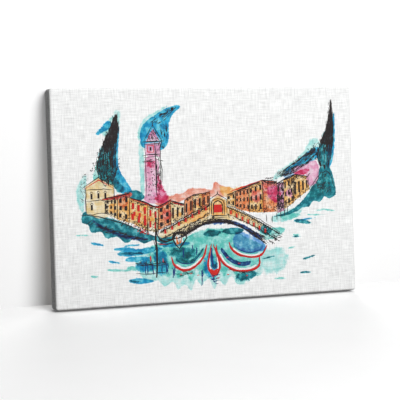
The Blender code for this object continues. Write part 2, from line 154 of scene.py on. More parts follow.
def smooth_line(points, closed=False, steps=6):
    """A Catmull-Rom curve through the points."""
    p = np.array(points, float)
    n = len(p)
    if n < 3:
        return p
    out = []
    for i in range(n if closed else n - 1):
        if closed:
            a, b, c, d = p[i - 1], p[i], p[(i + 1) % n], p[(i + 2) % n]
        else:
            a, b, c, d = p[max(i - 1, 0)], p[i], p[i + 1], p[min(i + 2, n - 1)]
        for k in range(steps):
            t = k / steps
            square, cube = 2 * a - 5 * b + 4 * c - d, 3 * b - a - 3 * c + d
            out.append(0.5 * (2 * b + (c - a) * t + square * t**2 + cube * t**3))
    if not closed:
        out.append(p[-1])
    return np.array(out)


def signed_distance(points, outline):
    """How far inside an outline each point is, negative outside it."""
    px, py = points[:, 0], points[:, 1]
    nearest = np.full(len(points), 1e9)
    inside = np.zeros(len(points), bool)
    for (ax, ay), (bx, by) in zip(outline, np.roll(outline, -1, axis=0)):
        ex, ey = bx - ax, by - ay
        dx, dy = px - ax, py - ay
        t = np.clip((dx * ex + dy * ey) / max(ex * ex + ey * ey, 1e-9), 0, 1)
        nearest = np.minimum(nearest, (dx - ex * t) ** 2 + (dy - ey * t) ** 2)
        if ay != by:
            inside ^= ((ay > py) != (by > py)) & (px < ex * (py - ay) / ey + ax)
    distance = np.sqrt(nearest)
    return np.where(inside, distance, -distance)


def is_inside(x, y, outline):
    return signed_distance(np.array([[x, y]]), np.array(outline, float))[0] > 0


def shifted(points, x, y):
    return [(a + x, b + y) for a, b in points]


class Drawing:
    """What is painted and drawn on the cloth: washes by pigment, and strokes by pen."""

    FAR = 12.0  # millimetres beyond which a wash's distance isn't kept
    WEIGHT = 1.65  # how much wider the pens run than their nominal width
    LEAF = ((0.0, 0.25), (0.12, 0.75), (0.45, 1.0), (0.8, 0.6), (1.0, 0.08))  # a dab's width along it

    def __init__(self, seed):
        self.random = random.Random(seed)
        self.washes = {}
        self.strokes = {}

    def wash(self, pigment, points, soft=1.0, round_it=True):
        """An area of colour. soft widens its edge by that many times."""
        outline = smooth_line(points, closed=True) if round_it else np.array(points, float)
        self.washes.setdefault(pigment, []).append((outline, soft))

    def dab(self, pigment, start, end, width, soft=1.0):
        """One touch of a loaded brush: a long leaf shape, blunt where it starts."""
        a, b = np.array(start, float), np.array(end, float)
        along = b - a
        across = np.array([-along[1], along[0]]) / max(np.hypot(*along), 1e-6)
        wander = [self.random.uniform(0.75, 1.2) for _ in range(2 * len(self.LEAF))]
        upper = [a + along * t + across * width / 2 * w * k for (t, w), k in zip(self.LEAF, wander)]
        lower = [
            a + along * t - across * width / 2 * w * k
            for (t, w), k in zip(self.LEAF, wander[len(self.LEAF):])
        ]
        self.wash(pigment, upper + lower[::-1], soft)

    def line(self, pen, points, width=0.9, shake=0.3, round_it=True, taper=0.35):
        """A stroke that swells in the middle. shake is how far the hand wanders."""
        line = smooth_line(points, steps=4) if round_it else np.array(points, float)
        if len(line) == 2:
            middle = [line[0] * (1 - t) + line[1] * t for t in (0.33, 0.67)]
            line = np.array([line[0], *middle, line[1]])
        jitter = np.array([[self.random.gauss(0, shake), self.random.gauss(0, shake)] for _ in line])
        t = np.linspace(0, 1, len(line))
        press = np.array([self.random.uniform(0.8, 1.2) for _ in line])
        swell = taper + (1 - taper) * np.sin(math.pi * t) ** 0.6
        self.strokes.setdefault(pen, []).append((line + jitter, width * self.WEIGHT * swell * press))

    def patch(self, pen, points):
        """A small filled shape, as four corners."""
        a, b, c, d = (np.array(p, float) for p in points)
        middle = np.array([(a + b) / 2, (c + d) / 2])
        width = (np.hypot(*(b - a)) + np.hypot(*(c - d))) / 2
        self.strokes.setdefault(pen, []).append((middle, np.array([width, width])))

    def block(self, pen, x, foot, half_width, height):
        """A small upright filled shape that stands at x."""
        left, right, top = x - half_width, x + half_width, foot + height
        self.patch(pen, [(left, foot), (right, foot), (right, top), (left, top)])

    def hatch(self, pen, outline, angle, length, count, width=0.7, spread=12.0, bend=0.15):
        """Short strokes inside an outline."""
        shape = np.array(outline, float)
        low, high = shape.min(axis=0), shape.max(axis=0)
        made, tries = 0, 0
        while made < count and tries < 30 * count:
            tries += 1
            x = self.random.uniform(low[0], high[0])
            y = self.random.uniform(low[1], high[1])
            if not is_inside(x, y, shape):
                continue
            made += 1
            a = math.radians(angle + self.random.gauss(0, spread))
            half = length / 2 * self.random.uniform(0.5, 1.4)
            way = np.array([math.cos(a), math.sin(a)])
            side = np.array([-way[1], way[0]]) * half * self.random.uniform(-bend, bend)
            centre = np.array([x, y])
            ends = [centre - way * half, centre + side, centre + way * half]
            self.line(pen, ends, width * self.random.uniform(0.6, 1.3), shake=0.1)

    def specks(self, pen, outline, count, size=1.0):
        """Dots and short ticks of ink inside an outline."""
        self.hatch(pen, outline, 90, 2.2 * size, count, 1.0 * size, spread=55)

    def streaks(self, pen, edge, other_edge, count, width, span=(0.0, 1.0), run=0.22):
        """Long bristle marks that run between two curves, such as a dry brush leaves."""
        one, other = smooth_line(edge, steps=12), smooth_line(other_edge, steps=12)
        for _ in range(count):
            share = self.random.random()
            start = self.random.uniform(*span)
            end = min(start + run * self.random.uniform(0.3, 1.0), 1.0)
            marks = []
            for t in np.linspace(start, end, 5):
                a = one[min(int(t * (len(one) - 1)), len(one) - 1)]
                b = other[min(int(t * (len(other) - 1)), len(other) - 1)]
                marks.append(a * (1 - share) + b * share)
            self.line(pen, marks, width * self.random.uniform(0.5, 1.3), shake=0.25)

    def distances(self, pigment, points):
        """The signed distance into a pigment's washes at each point, in millimetres."""
        out = np.full(len(points), -self.FAR)
        for outline, soft in self.washes.get(pigment, []):
            reach = self.FAR * soft
            near = np.all(
                (points > outline.min(axis=0) - reach) & (points < outline.max(axis=0) + reach), axis=1
            )
            if near.any():
                here = signed_distance(points[near], outline) / soft
                out[near] = np.maximum(out[near], here)
        return np.clip(out, -self.FAR, self.FAR)


# ---------------------------------------------------------------------------
# The harbour view
# ---------------------------------------------------------------------------


def between(a, b, t):
    return (a[0] + (b[0] - a[0]) * t, a[1] + (b[1] - a[1]) * t)


def quad_point(corners, s, t):
    """A point in a four-sided face: s from left to right, t from foot to roof."""
    foot_left, foot_right, roof_right, roof_left = corners
    return between(between(foot_left, foot_right, s), between(roof_left, roof_right, s), t)


def house(art, corners, pigments, columns, rows, shutters="ink", size=(0.46, 0.5)):
    """A house front with a sketched outline, rows of windows and an eaves line."""
    foot_left, foot_right, roof_right, roof_left = corners
    art.wash(pigments[0], corners, round_it=False)
    for pigment in pigments[1:]:
        middle = quad_point(corners, art.random.uniform(0.3, 0.7), art.random.uniform(0.3, 0.7))
        wide = abs(foot_right[0] - foot_left[0]) * 0.4
        blot = [(wide * math.cos(a), wide * math.sin(a)) for a in np.linspace(0, 5.2, 6)]
        art.wash(pigment, [(middle[0] + x, middle[1] + y) for x, y in blot], soft=2.5)
    for side in ((foot_left, roof_left), (foot_right, roof_right)):
        art.line("ink", side, 0.9)
        art.line("ink", [between(*side, -0.04), between(*side, 0.6)], 0.6, shake=0.6)
    art.line("ink", [roof_left, roof_right], 1.4, taper=0.7)
    art.line("ink", shifted((roof_left, roof_right), 0, -3), 0.6, shake=0.5)
    area = abs((foot_right[0] - foot_left[0]) * (roof_left[1] - foot_left[1]))
    art.specks("ink", corners, int(area / 26), 0.75)
    art.hatch("ink", corners, 86, 4, int(area / 60), 0.55, spread=14)
    plinth = [foot_left, foot_right, between(foot_right, roof_right, 0.2), between(foot_left, roof_left, 0.2)]
    art.hatch("ink", plinth, 20, 3, int(area / 50), 0.8, spread=60)
    under_eaves = [
        roof_left, roof_right, between(roof_right, foot_right, 0.14), between(roof_left, foot_left, 0.14),
    ]
    art.hatch("ink", under_eaves, 8, 3, int(area / 45), 0.9, spread=40)
    for row in range(rows):
        for column in range(columns):
            s = (column + 0.5 + art.random.uniform(-0.08, 0.08)) / columns
            t = (row + 0.62) / (rows + 0.3)
            half_s, half_t = size[0] / columns / 2, size[1] / rows / 2
            window = [
                quad_point(corners, s + across * half_s, t + up * half_t)
                for across, up in ((-1, -1), (1, -1), (1, 1), (-1, 1))
            ]
            art.patch(shutters, window)
            art.line("ink", [window[3], window[2]], 0.7, shake=0.3)
            if art.random.random() < 0.5:
                art.line("ink", [window[0], window[3]], 0.5, shake=0.3)


def row_of_houses(art, row):
    for corners, pigments, columns, rows, shutters in row:
        house(art, corners, pigments, columns, rows, shutters)


def cypress(art, windward, leeward, count, reach, sway, trunk):
    """The pen strokes of a cypress between its two edges, and the foot of its trunk."""
    art.streaks("ink", windward[:5], leeward[:5], count, 1.2, span=(0.0, reach))
    art.streaks("ink", windward[1:], leeward[1:], 90, 0.8)
    for edge in (windward, leeward):
        for x, y in smooth_line(edge, steps=9)[2:]:
            tip = (x + art.random.uniform(-sway, sway), y + art.random.uniform(3, 8))
            art.line("ink", [(x, y - 5), tip], 0.8, shake=0.2)
    art.line("ink", trunk, 2.2, shake=0.2)


def left_bank(art):
    """A cypress beside a pale house, on the dark bank at the left end of the town."""
    windward = [(123, 352), (108, 322), (96, 296), (87, 270), (85, 248), (95, 230)]
    leeward = [(123, 352), (126, 326), (121, 300), (119, 272), (120, 250), (112, 230)]
    art.wash("mist", [(54, 236), (44, 214), (48, 184), (56, 176), (60, 210), (64, 240)], soft=2.0)
    art.wash("mist", [
        (122, 358), (131, 350), (122, 318), (104, 312), (90, 320), (102, 330), (112, 344),
    ], soft=2.5)
    art.wash("sky", [(97, 318), (84, 316), (96, 330), (108, 340), (114, 330)], soft=2.0)
    art.wash("sky", [
        (128, 330), (126, 300), (124, 268), (128, 246), (150, 208), (132, 204), (114, 230), (112, 262),
        (117, 300),
    ])
    art.wash("aqua", [
        (80, 252), (90, 276), (112, 268), (126, 240), (118, 220), (92, 222), (76, 234),
    ], soft=1.5)
    art.wash("teal", [(112, 246), (122, 232), (134, 214), (124, 208), (110, 226), (102, 244)], soft=2.0)
    art.wash("cream", [
        (62, 172), (61, 222), (86, 236), (114, 222), (114, 168), (86, 162),
    ], round_it=False, soft=1.5)
    art.wash("umber", windward[:3] + [(104, 282)] + leeward[2:0:-1], soft=1.4)
    art.wash("teal", windward[2:] + leeward[:1:-1], soft=1.8)
    art.wash("teal", [
        (58, 176), (78, 168), (92, 166), (118, 158), (150, 144), (190, 126), (236, 130), (228, 118),
        (204, 112), (186, 118), (168, 113), (152, 122), (134, 116), (118, 128), (98, 126), (88, 138),
        (70, 138), (64, 152), (52, 158),
    ])
    art.wash("navy", [
        (74, 160), (92, 148), (130, 132), (176, 121), (150, 120), (118, 130), (86, 146),
    ], soft=2.2)
    cypress(art, windward, leeward, 70, 0.8, 4, [(104, 234), (105, 222)])
    art.hatch("ink", [
        (84, 250), (92, 272), (112, 262), (120, 236), (110, 224), (92, 226),
    ], 70, 6, 60, 0.7, spread=40)
    art.specks("ink", [(58, 244), (48, 214), (54, 190), (64, 214), (68, 244)], 46, 0.8)
    art.specks("ink", [(70, 250), (88, 290), (128, 270), (130, 226), (96, 220)], 110)
    art.line("ink", [(54, 217), (86, 237), (119, 217)], 1.5, shake=0.4, round_it=False)
    art.line("red", [(58, 216), (86, 233), (115, 216)], 1.4, shake=0.4, round_it=False)
    for x, low, high in ((61, 172, 220), (114, 166, 218)):
        art.line("ink", [(x, low), (x + 0.6, (low + high) / 2), (x, high)], 1.3, shake=0.4)
    for x, y in ((72, 198), (85, 199), (98, 199), (72, 178), (98, 179)):
        art.block("ink", x, y, 2.2, 10)
        art.line("ink", [(x - 3, y + 10), (x, y + 13.5), (x + 3, y + 10)], 0.8, shake=0.1)
    for y in (170, 194, 215):
        art.line("ink", [(62, y), (88, y + 1.5), (113, y - 1)], 1.0, shake=0.6)
    art.hatch("ink", [
        (62, 158), (92, 150), (130, 134), (176, 120), (150, 122), (90, 140),
    ], 5, 12, 40, 0.9, spread=16)
    art.line("ink", [(50, 170), (78, 167), (118, 156), (152, 142), (190, 124)], 1.2, shake=0.8)


def right_headland(art):
    """A taller cypress on the headland beyond the last houses."""
    windward = [(557, 374), (552, 342), (544, 314), (532, 290), (525, 266), (532, 244)]
    leeward = [(558, 374), (560, 342), (560, 314), (558, 288), (554, 264), (547, 244)]
    art.wash("mist", [
        (432, 222), (440, 238), (456, 246), (482, 262), (504, 280), (524, 284), (512, 258), (470, 236),
    ], soft=1.8)
    art.wash("sky", [(564, 350), (564, 312), (562, 280), (556, 252), (546, 240), (548, 280), (556, 320)])
    art.wash("sky", [(454, 238), (482, 254), (506, 274), (528, 282), (524, 262), (498, 246), (476, 236)])
    art.wash("mist", [(498, 270), (508, 292), (524, 300), (530, 284)], soft=2.0)
    art.wash("umber", windward[:4] + leeward[3:0:-1], soft=1.4)
    art.wash("teal", windward[2:] + leeward[:1:-1], soft=1.8)
    art.wash("pink", [(504, 250), (520, 256), (528, 240), (522, 214), (506, 208), (500, 226)], soft=1.5)
    art.wash("teal", [
        (430, 152), (456, 158), (484, 174), (508, 200), (524, 232), (538, 252), (552, 240), (560, 212),
        (562, 190), (548, 182), (538, 186), (528, 176), (514, 178), (504, 168), (490, 166), (474, 158),
        (452, 152),
    ])
    art.wash("aqua", [(506, 196), (524, 220), (540, 232), (550, 214), (540, 194), (516, 182)], soft=2.4)
    cypress(art, windward, leeward, 80, 0.85, 3, [(540, 248), (540, 238)])
    art.line("ink", [(506, 202), (524, 224), (540, 236), (552, 226), (560, 200)], 1.2, shake=0.8)
    ridge = [(436, 228), (462, 246), (490, 264), (520, 284)]
    slope_foot = [(452, 226), (480, 236), (504, 250), (526, 266)]
    art.streaks("ink", ridge, slope_foot, 130, 0.8)
    art.hatch("ink", [
        (514, 204), (526, 222), (540, 232), (552, 216), (554, 198), (536, 192),
    ], 60, 7, 50, 0.8, spread=40)
    art.specks("ink", [(430, 228), (480, 262), (530, 296), (530, 262), (470, 234)], 90)


def bell_tower(art):
    """A tall tower with a pointed roof against a patch of blue sky."""
    art.wash("sky", [
        (170, 292), (168, 318), (178, 336), (196, 348), (216, 360), (240, 367), (246, 362), (232, 350),
        (224, 332), (222, 300), (208, 284), (190, 286),
    ])
    art.wash("mist", [
        (166, 300), (164, 322), (176, 342), (200, 356), (222, 366), (206, 352), (182, 334),
    ], soft=1.6)
    art.streaks("ink", [(204, 330), (208, 312), (205, 290)], [(222, 334), (221, 310), (214, 286)], 40, 0.8)
    art.streaks("ink", [(184, 336), (204, 350), (232, 363)], [(206, 332), (222, 344), (240, 362)], 46, 0.8)
    art.wash("mist", [(164, 292), (172, 300), (174, 250), (172, 205), (166, 206), (165, 250)], soft=1.3)
    art.wash("pink", [(178, 300), (192, 325), (206, 300)], round_it=False)
    art.wash("pink", [(177, 274), (177, 297), (206, 298), (205, 272)], round_it=False, soft=1.4)
    art.wash("pink", [(174, 205), (176, 268), (199, 268), (202, 240), (204, 196), (190, 186), (172, 192)])
    art.wash("magenta", [(178, 262), (192, 266), (197, 262), (194, 250), (182, 254)], soft=4.0)
    art.wash("magenta", [(200, 236), (207, 218), (218, 196), (212, 186), (194, 190), (198, 212)], soft=3.0)
    art.wash("coral", [(190, 196), (214, 190), (226, 194), (214, 184), (196, 182)])
    corners = ((176, 196, 298, 0.9), (196, 200, 300, 1.7), (205, 210, 300, 1.0), (207, 222, 262, 1.0))
    for x, low, high, width in corners:
        art.line("ink", [(x, high), (x + 0.6, (low + high) / 2), (x - 0.4, low)], width, shake=0.4)
    ledges = ((300, 172, 212, 1.8), (296, 174, 208, 1.0), (276, 171, 206, 1.5), (272, 173, 204, 0.9))
    for y, x0, x1, width in ledges:
        art.line("ink", [(x0, y - 1), (x1, y + 1)], width, shake=0.4)
    art.line("ink", [(174, 301), (192, 331)], 1.0)
    art.line("ink", [(192, 331), (210, 301)], 1.2)
    art.line("ink", [(192, 326), (192, 338)], 1.2)
    art.hatch("ink", [(180, 303), (192, 326), (206, 303)], -58, 5, 26, 0.7)
    art.hatch("ink", [(197, 296), (205, 296), (204, 200), (197, 200)], 84, 9, 34, 0.7)
    art.line("red", [
        (181, 281), (181, 293), (193, 293), (193, 281), (181, 281),
    ], 1.2, round_it=False, taper=0.9)
    art.block("ink", 187, 283.5, 2, 6.5)
    for x, y in ((182, 216), (186, 208), (180, 200), (190, 218), (187, 242), (184, 229)):
        art.block("ink", x, y, 0.8, 3.5)
    art.specks("ink", [(174, 205), (178, 268), (204, 268), (208, 190), (172, 190)], 60)
    art.specks("ink", [(178, 302), (192, 326), (206, 302)], 26)
    art.hatch("ink", [(172, 268), (172, 262), (210, 262), (210, 268)], 0, 8, 10, 0.8)


def left_houses(art):
    """The row of houses between the left bank and the bridge."""
    art.wash("teal", [(132, 206), (150, 212), (166, 208), (172, 198), (160, 192), (140, 196)], soft=1.4)
    art.wash("coral", [(92, 198), (110, 202), (144, 208), (146, 200), (118, 196)])
    row = (
        (((96, 172), (119, 160), (121, 200), (99, 196)), ("cream", "ochre"), 3, 3, "ink"),
        (((119, 160), (142, 152), (144, 206), (121, 201)), ("ochre", "orange"), 2, 3, "ink"),
        (((142, 154), (177, 136), (178, 186), (144, 198)), ("ochre",), 3, 2, "red"),
        (((177, 136), (197, 132), (198, 177), (178, 184)), ("cream", "ochre"), 2, 2, "red"),
        (((197, 136), (222, 146), (223, 190), (198, 180)), ("orange", "coral"), 2, 3, "ink"),
        (((222, 146), (248, 157), (250, 183), (223, 188)), ("cream", "ochre"), 3, 1, "ink"),
        (((248, 157), (266, 165), (267, 198), (250, 190)), ("orange",), 2, 1, "ink"),
        (((266, 164), (284, 171), (285, 201), (267, 199)), ("ochre", "orange"), 2, 1, "ink"),
        (((284, 170), (300, 178), (301, 204), (285, 200)), ("orange", "ochre"), 2, 1, "ink"),
    )
    row_of_houses(art, row)
    roofs = (
        [(92, 198), (120, 202), (146, 208)],
        [(146, 198), (170, 190), (198, 180), (224, 193)],
        [(223, 190), (250, 181)],
    )
    for eaves in roofs:
        art.line("ink", eaves, 1.5, shake=0.4)
        art.line("red", shifted(eaves, 0, -2), 1.6, shake=0.4)
    art.wash("salmon", [
        (212, 192), (226, 200), (250, 204), (262, 211), (300, 208), (300, 196), (262, 194), (232, 186),
    ], soft=1.6)
    art.hatch("ink", [(100, 172), (146, 150), (178, 138), (150, 138), (110, 158)], 20, 4, 60, 0.7, spread=50)
    art.hatch("ink", [(146, 160), (172, 146), (190, 130), (160, 132)], 80, 4, 40, 0.7, spread=60)
    for x, y in ((152, 168), (162, 165), (172, 160)):
        art.patch("red", [(x - 2.6, y - 3), (x + 2.6, y - 4), (x + 2.6, y + 4), (x - 2.6, y + 5)])
    art.hatch("red", [(150, 148), (176, 136), (178, 128), (158, 136)], 20, 5, 16, 1.2, spread=40)
    for x in (98, 126, 176, 196):
        art.line("ink", [(x, 150), (x + 0.5, 128 if x > 150 else 146)], 1.3, shake=0.2)


def right_houses(art):
    """The longer row of houses between the bridge and the right headland."""
    art.wash("salmon", [
        (296, 198), (306, 210), (312, 222), (326, 214), (352, 208), (384, 212), (408, 220), (410, 204),
        (360, 196), (320, 192),
    ], soft=1.7)
    art.wash("ochre", [(322, 212), (350, 209), (372, 210), (366, 196), (330, 194)], soft=2.5)
    row = (
        (((334, 176), (352, 172), (352, 202), (335, 196)), ("ochre",), 2, 2, "ink"),
        (((352, 170), (380, 162), (380, 212), (352, 202)), ("orange", "ochre"), 4, 3, "ink"),
        (((380, 162), (408, 160), (408, 222), (380, 212)), ("ochre", "coral"), 3, 3, "ink"),
        (((408, 160), (440, 160), (438, 218), (408, 222)), ("orange", "magenta"), 0, 0, "ink"),
        (((438, 158), (452, 162), (452, 216), (438, 214)), ("pink", "cream"), 2, 3, "ink"),
        (((452, 164), (472, 176), (474, 228), (452, 220)), ("ochre", "pink"), 3, 3, "ink"),
        (((472, 178), (506, 200), (504, 226), (474, 230)), ("ochre",), 4, 1, "ink"),
    )
    row_of_houses(art, row)
    art.wash("magenta", [(420, 206), (440, 208), (446, 190), (434, 178), (422, 188)], soft=2.0)
    art.wash("coral", [(408, 220), (438, 214), (430, 196), (410, 198)], soft=2.0)
    art.wash("pink", [(470, 240), (500, 250), (508, 238), (480, 230)], soft=1.5)
    art.wash("magenta", [(476, 232), (494, 240), (508, 238), (496, 230)], soft=1.4)
    art.wash("periwinkle", [(452, 232), (472, 240), (474, 228), (456, 224)], soft=1.6)
    art.line("ink", [(340, 198), (372, 208), (410, 222)], 1.2, shake=0.4)
    art.line("red", [(342, 202), (374, 212), (408, 222)], 1.6, shake=0.5)
    art.line("ink", [(408, 223), (414, 218), (440, 216), (474, 230), (500, 226), (508, 232)], 1.6, shake=0.5)
    art.hatch("ink", [(440, 212), (452, 214), (454, 162), (440, 160)], 88, 8, 60, 0.9)
    art.hatch("ink", [(462, 222), (474, 226), (474, 186), (464, 180)], 86, 8, 26, 0.8)
    art.hatch("ink", [
        (410, 226), (440, 218), (440, 236), (470, 244), (500, 250), (440, 226),
    ], 25, 5, 50, 0.7, spread=40)
    quay = ((436, 152), (444, 156), (452, 160), (458, 166), (472, 184), (486, 192), (414, 150), (426, 148))
    for x, y in quay:
        art.line("ink", [(x, y + 6), (x + 0.4, y - 8)], 1.2, shake=0.2)


def arched_bridge(art):
    """A stone bridge with an arcade on each ramp and a pavilion on its crown."""
    deck = [(200, 132), (240, 150), (272, 164), (300, 178)]
    fall = [(334, 174), (366, 160), (400, 142), (440, 118)]
    arch = [(212, 118), (240, 120), (262, 132), (286, 143), (312, 147), (344, 142), (380, 124), (412, 100)]
    art.wash("cream", deck + [
        (334, 176), (366, 162), (404, 140), (396, 130), (360, 146), (312, 150), (282, 146), (240, 128),
        (204, 122),
    ])
    art.wash("ochre", [(232, 146), (300, 176), (300, 160), (262, 148)], soft=1.5)
    art.wash("ochre", [(334, 174), (366, 160), (392, 146), (370, 148), (336, 160)], soft=1.5)
    art.wash("navy", [
        (332, 148), (360, 142), (388, 126), (404, 112), (392, 112), (360, 134), (332, 144),
    ], soft=1.5)
    art.wash("teal", [(368, 154), (400, 142), (424, 126), (412, 116), (392, 132)], soft=1.4)
    art.wash("umber", [
        (250, 128), (268, 139), (290, 147), (318, 150), (344, 146), (344, 141), (312, 146), (286, 142),
        (262, 131),
    ], soft=2.2)
    art.wash("navy", [(262, 134), (290, 146), (330, 148), (330, 143), (290, 142)], soft=2.0)
    for points, slope in ((deck, 25), (fall, -28)):
        art.line("ink", points, 1.5, shake=0.4, taper=0.8)
        art.line("ink", shifted(points, 0, 4), 0.9, shake=0.5)
        art.line("ink", shifted(points, 0, -14), 1.0, shake=0.5)
        rail = smooth_line(points, steps=10)
        for x, y in rail[1:]:
            art.line("ink", [(x, y - 1), (x + 0.4, y + 4)], 1.0, shake=0.2)
        parapet = shifted(points, 0, 1) + shifted(points[::-1], 0, -5)
        art.hatch("ink", parapet, 60, 3, 70, 0.8, spread=40)
        ledge = shifted(points, 0, -12) + shifted(points[::-1], 0, -17)
        art.hatch("ink", ledge, slope, 5, 60, 0.8, spread=25)
    art.line("ink", arch, 2.2, shake=0.4, taper=0.7)
    art.line("ink", shifted(arch[2:7], 0, 5), 1.0, shake=0.5)
    art.hatch("ink", [(230, 124), (262, 140), (282, 148), (270, 134), (250, 122)], 40, 6, 70, 0.7, spread=50)
    vault = shifted(arch[1:5], 0, 12) + arch[4:0:-1]
    art.wash("cream", vault)
    art.hatch("ink", vault, 70, 7, 64, 0.7, spread=30)
    art.hatch("ink", vault, 25, 6, 30, 0.8, spread=20)
    art.hatch("ink", [(290, 148), (340, 150), (344, 143), (300, 143)], 5, 8, 40, 0.8, spread=15)
    art.hatch("ink", [(350, 142), (400, 120), (430, 100), (404, 104), (366, 132)], -38, 8, 80, 0.7, spread=20)
    art.hatch("ink", [(404, 140), (444, 118), (440, 104), (404, 122)], -30, 8, 36, 0.7, spread=30)
    arcades = (
        (
            208, 13.5, 128, 6.6, [(0, 0), (5, 2), (5, 10), (0, 8)],
            [(-1, 0), (-0.8, 8), (2.5, 12), (6, 10), (6, 2)],
        ),
        (
            340, 11.5, 160, -6.3, [(0, 0), (4, -2), (4, 6), (0, 8)],
            [(-1, 0), (-0.8, 8), (2, 10), (5, 7), (5, -2)],
        ),
    )
    for x, x_step, y, y_step, opening, moulding in arcades:
        for i in range(7):
            here = (x + i * x_step, y + i * y_step)
            art.patch("red", shifted(opening, *here))
            art.line("ink", shifted(moulding, *here), 0.8, shake=0.2)
    art.wash("cream", [(300, 160), (300, 186), (316, 196), (334, 186), (334, 160)], round_it=False)
    art.wash("ochre", [(302, 160), (304, 184), (316, 192), (330, 184), (332, 160)], soft=1.6)
    art.line("red", [(313, 164), (313, 179)], 9.0, shake=0.1, taper=0.9)
    art.line("red", [(319, 164), (319, 179)], 8.0, shake=0.1, taper=0.9)
    for grow, width in ((0.0, 1.6), (3.5, 1.1)):
        left, right, top = 307 - grow, 325 + grow, 178 + grow
        sides = [
            (left, 161), (left, top), (left + 4, top + 6), (316, top + 8),
            (right - 4, top + 6), (right, top), (right, 161),
        ]
        art.line("ink", sides, width, shake=0.2, taper=0.8)
    art.line("ink", [(298, 188), (316, 199), (336, 187)], 1.3, round_it=False)
    art.line("ink", [(300, 158), (334, 158)], 1.4)
    art.line("ink", [(300, 154), (334, 154)], 0.9)
    art.line("ink", [(316, 198), (316, 204)], 1.2)
    for x in (299, 303, 329, 334):
        art.line("ink", [(x, 158), (x, 188)], 0.9, shake=0.3)


def water(art):
    """The pool under the bridge, with deeper and bluer places, and loose strokes at both sides."""
    pool = [
        (196, 110), (216, 116), (244, 118), (266, 128), (300, 134), (336, 132),
        (362, 120), (392, 104), (410, 96),
    ]
    shore = [
        (412, 84), (398, 66), (404, 50), (388, 42), (376, 50), (366, 30), (350, 30), (338, 46), (326, 30),
        (312, 40), (304, 24), (292, 44), (278, 32), (268, 44), (258, 24), (246, 36), (232, 28), (222, 42),
        (206, 34), (192, 48), (176, 46), (170, 62), (176, 92),
    ]
    art.wash("mist", pool + shifted(shore, 0, -3), soft=1.6)
    art.wash("aqua", pool + [(x * 0.96 + 12, y + 14) for x, y in shore], soft=2.2)
    art.wash("mist", [(150, 96), (196, 108), (214, 96), (206, 50), (170, 44), (158, 62)], soft=2.0)
    art.wash("aqua", [(400, 124), (428, 130), (452, 128), (440, 114), (412, 108)], soft=1.5)
    art.wash("mist", [(404, 84), (440, 92), (456, 72), (442, 48), (410, 44), (398, 62)], soft=4.0)
    art.wash("mist", [(424, 146), (440, 158), (470, 166), (492, 164), (470, 146), (440, 140)], soft=1.4)
    art.wash("teal", [(216, 94), (234, 102), (258, 100), (270, 88), (256, 80), (236, 80)], soft=4.0)
    art.wash("aqua", [(205, 100), (236, 112), (280, 108), (292, 86), (262, 70), (222, 66)], soft=2.0)
    art.wash("teal", [(286, 126), (300, 132), (320, 128), (312, 120), (292, 120)], soft=1.8)
    art.wash("teal", [(322, 128), (340, 134), (366, 130), (358, 122), (336, 122)], soft=1.0)
    art.wash("teal", [(352, 46), (380, 52), (392, 44), (376, 34), (352, 34)], soft=3.2)
    art.wash("sky", [(150, 72), (168, 84), (184, 80), (186, 64), (160, 62)], soft=3.0)
    art.wash("sky", [(188, 96), (208, 96), (214, 66), (206, 54), (190, 60)], soft=3.0)
    art.wash("sky", [(284, 74), (298, 88), (308, 74), (312, 52), (300, 40), (286, 54)], soft=3.5)
    art.wash("sky", [(200, 112), (250, 112), (254, 106), (210, 104)], soft=1.6)
    art.wash("periwinkle", [
        (344, 110), (356, 126), (380, 118), (406, 104), (410, 90), (384, 84), (358, 90),
    ], soft=1.6)
    art.wash("mist", [(320, 96), (340, 88), (372, 78), (388, 72), (372, 60), (340, 66), (322, 80)], soft=1.5)
    left = (
        ("sky", (68, 119), (92, 113), 5), ("sky", (112, 105), (152, 104), 6),
        ("sky", (118, 96), (206, 102), 13), ("sky", (132, 84), (182, 86), 9),
        ("sky", (100, 84), (122, 79), 4), ("aqua", (96, 68), (146, 64), 5),
        ("aqua", (134, 70), (160, 66), 7), ("sky", (138, 46), (186, 42), 10),
        ("aqua", (66, 58), (82, 57), 4), ("aqua", (40, 134), (70, 133), 3),
        ("teal", (120, 97), (170, 95), 5), ("sky", (132, 110), (160, 111), 3),
        ("teal", (138, 46), (160, 43), 4),
    )
    right = (
        ("teal", (472, 142), (508, 136), 8), ("sky", (470, 140), (516, 146), 3),
        ("aqua", (530, 162), (560, 157), 3), ("aqua", (500, 152), (536, 150), 3),
        ("teal", (466, 111), (486, 111), 3), ("aqua", (468, 114), (486, 114), 4),
        ("teal", (488, 67), (514, 73), 4), ("teal", (482, 41), (504, 41), 4),
        ("aqua", (428, 33), (452, 32), 3), ("aqua", (458, 89), (472, 92), 3),
        ("teal", (404, 72), (430, 76), 3), ("aqua", (444, 150), (486, 152), 12),
        ("aqua", (518, 160), (536, 160), 2),
    )
    for pigment, start, end, width in left + right:
        art.dab(pigment, start, end, width)


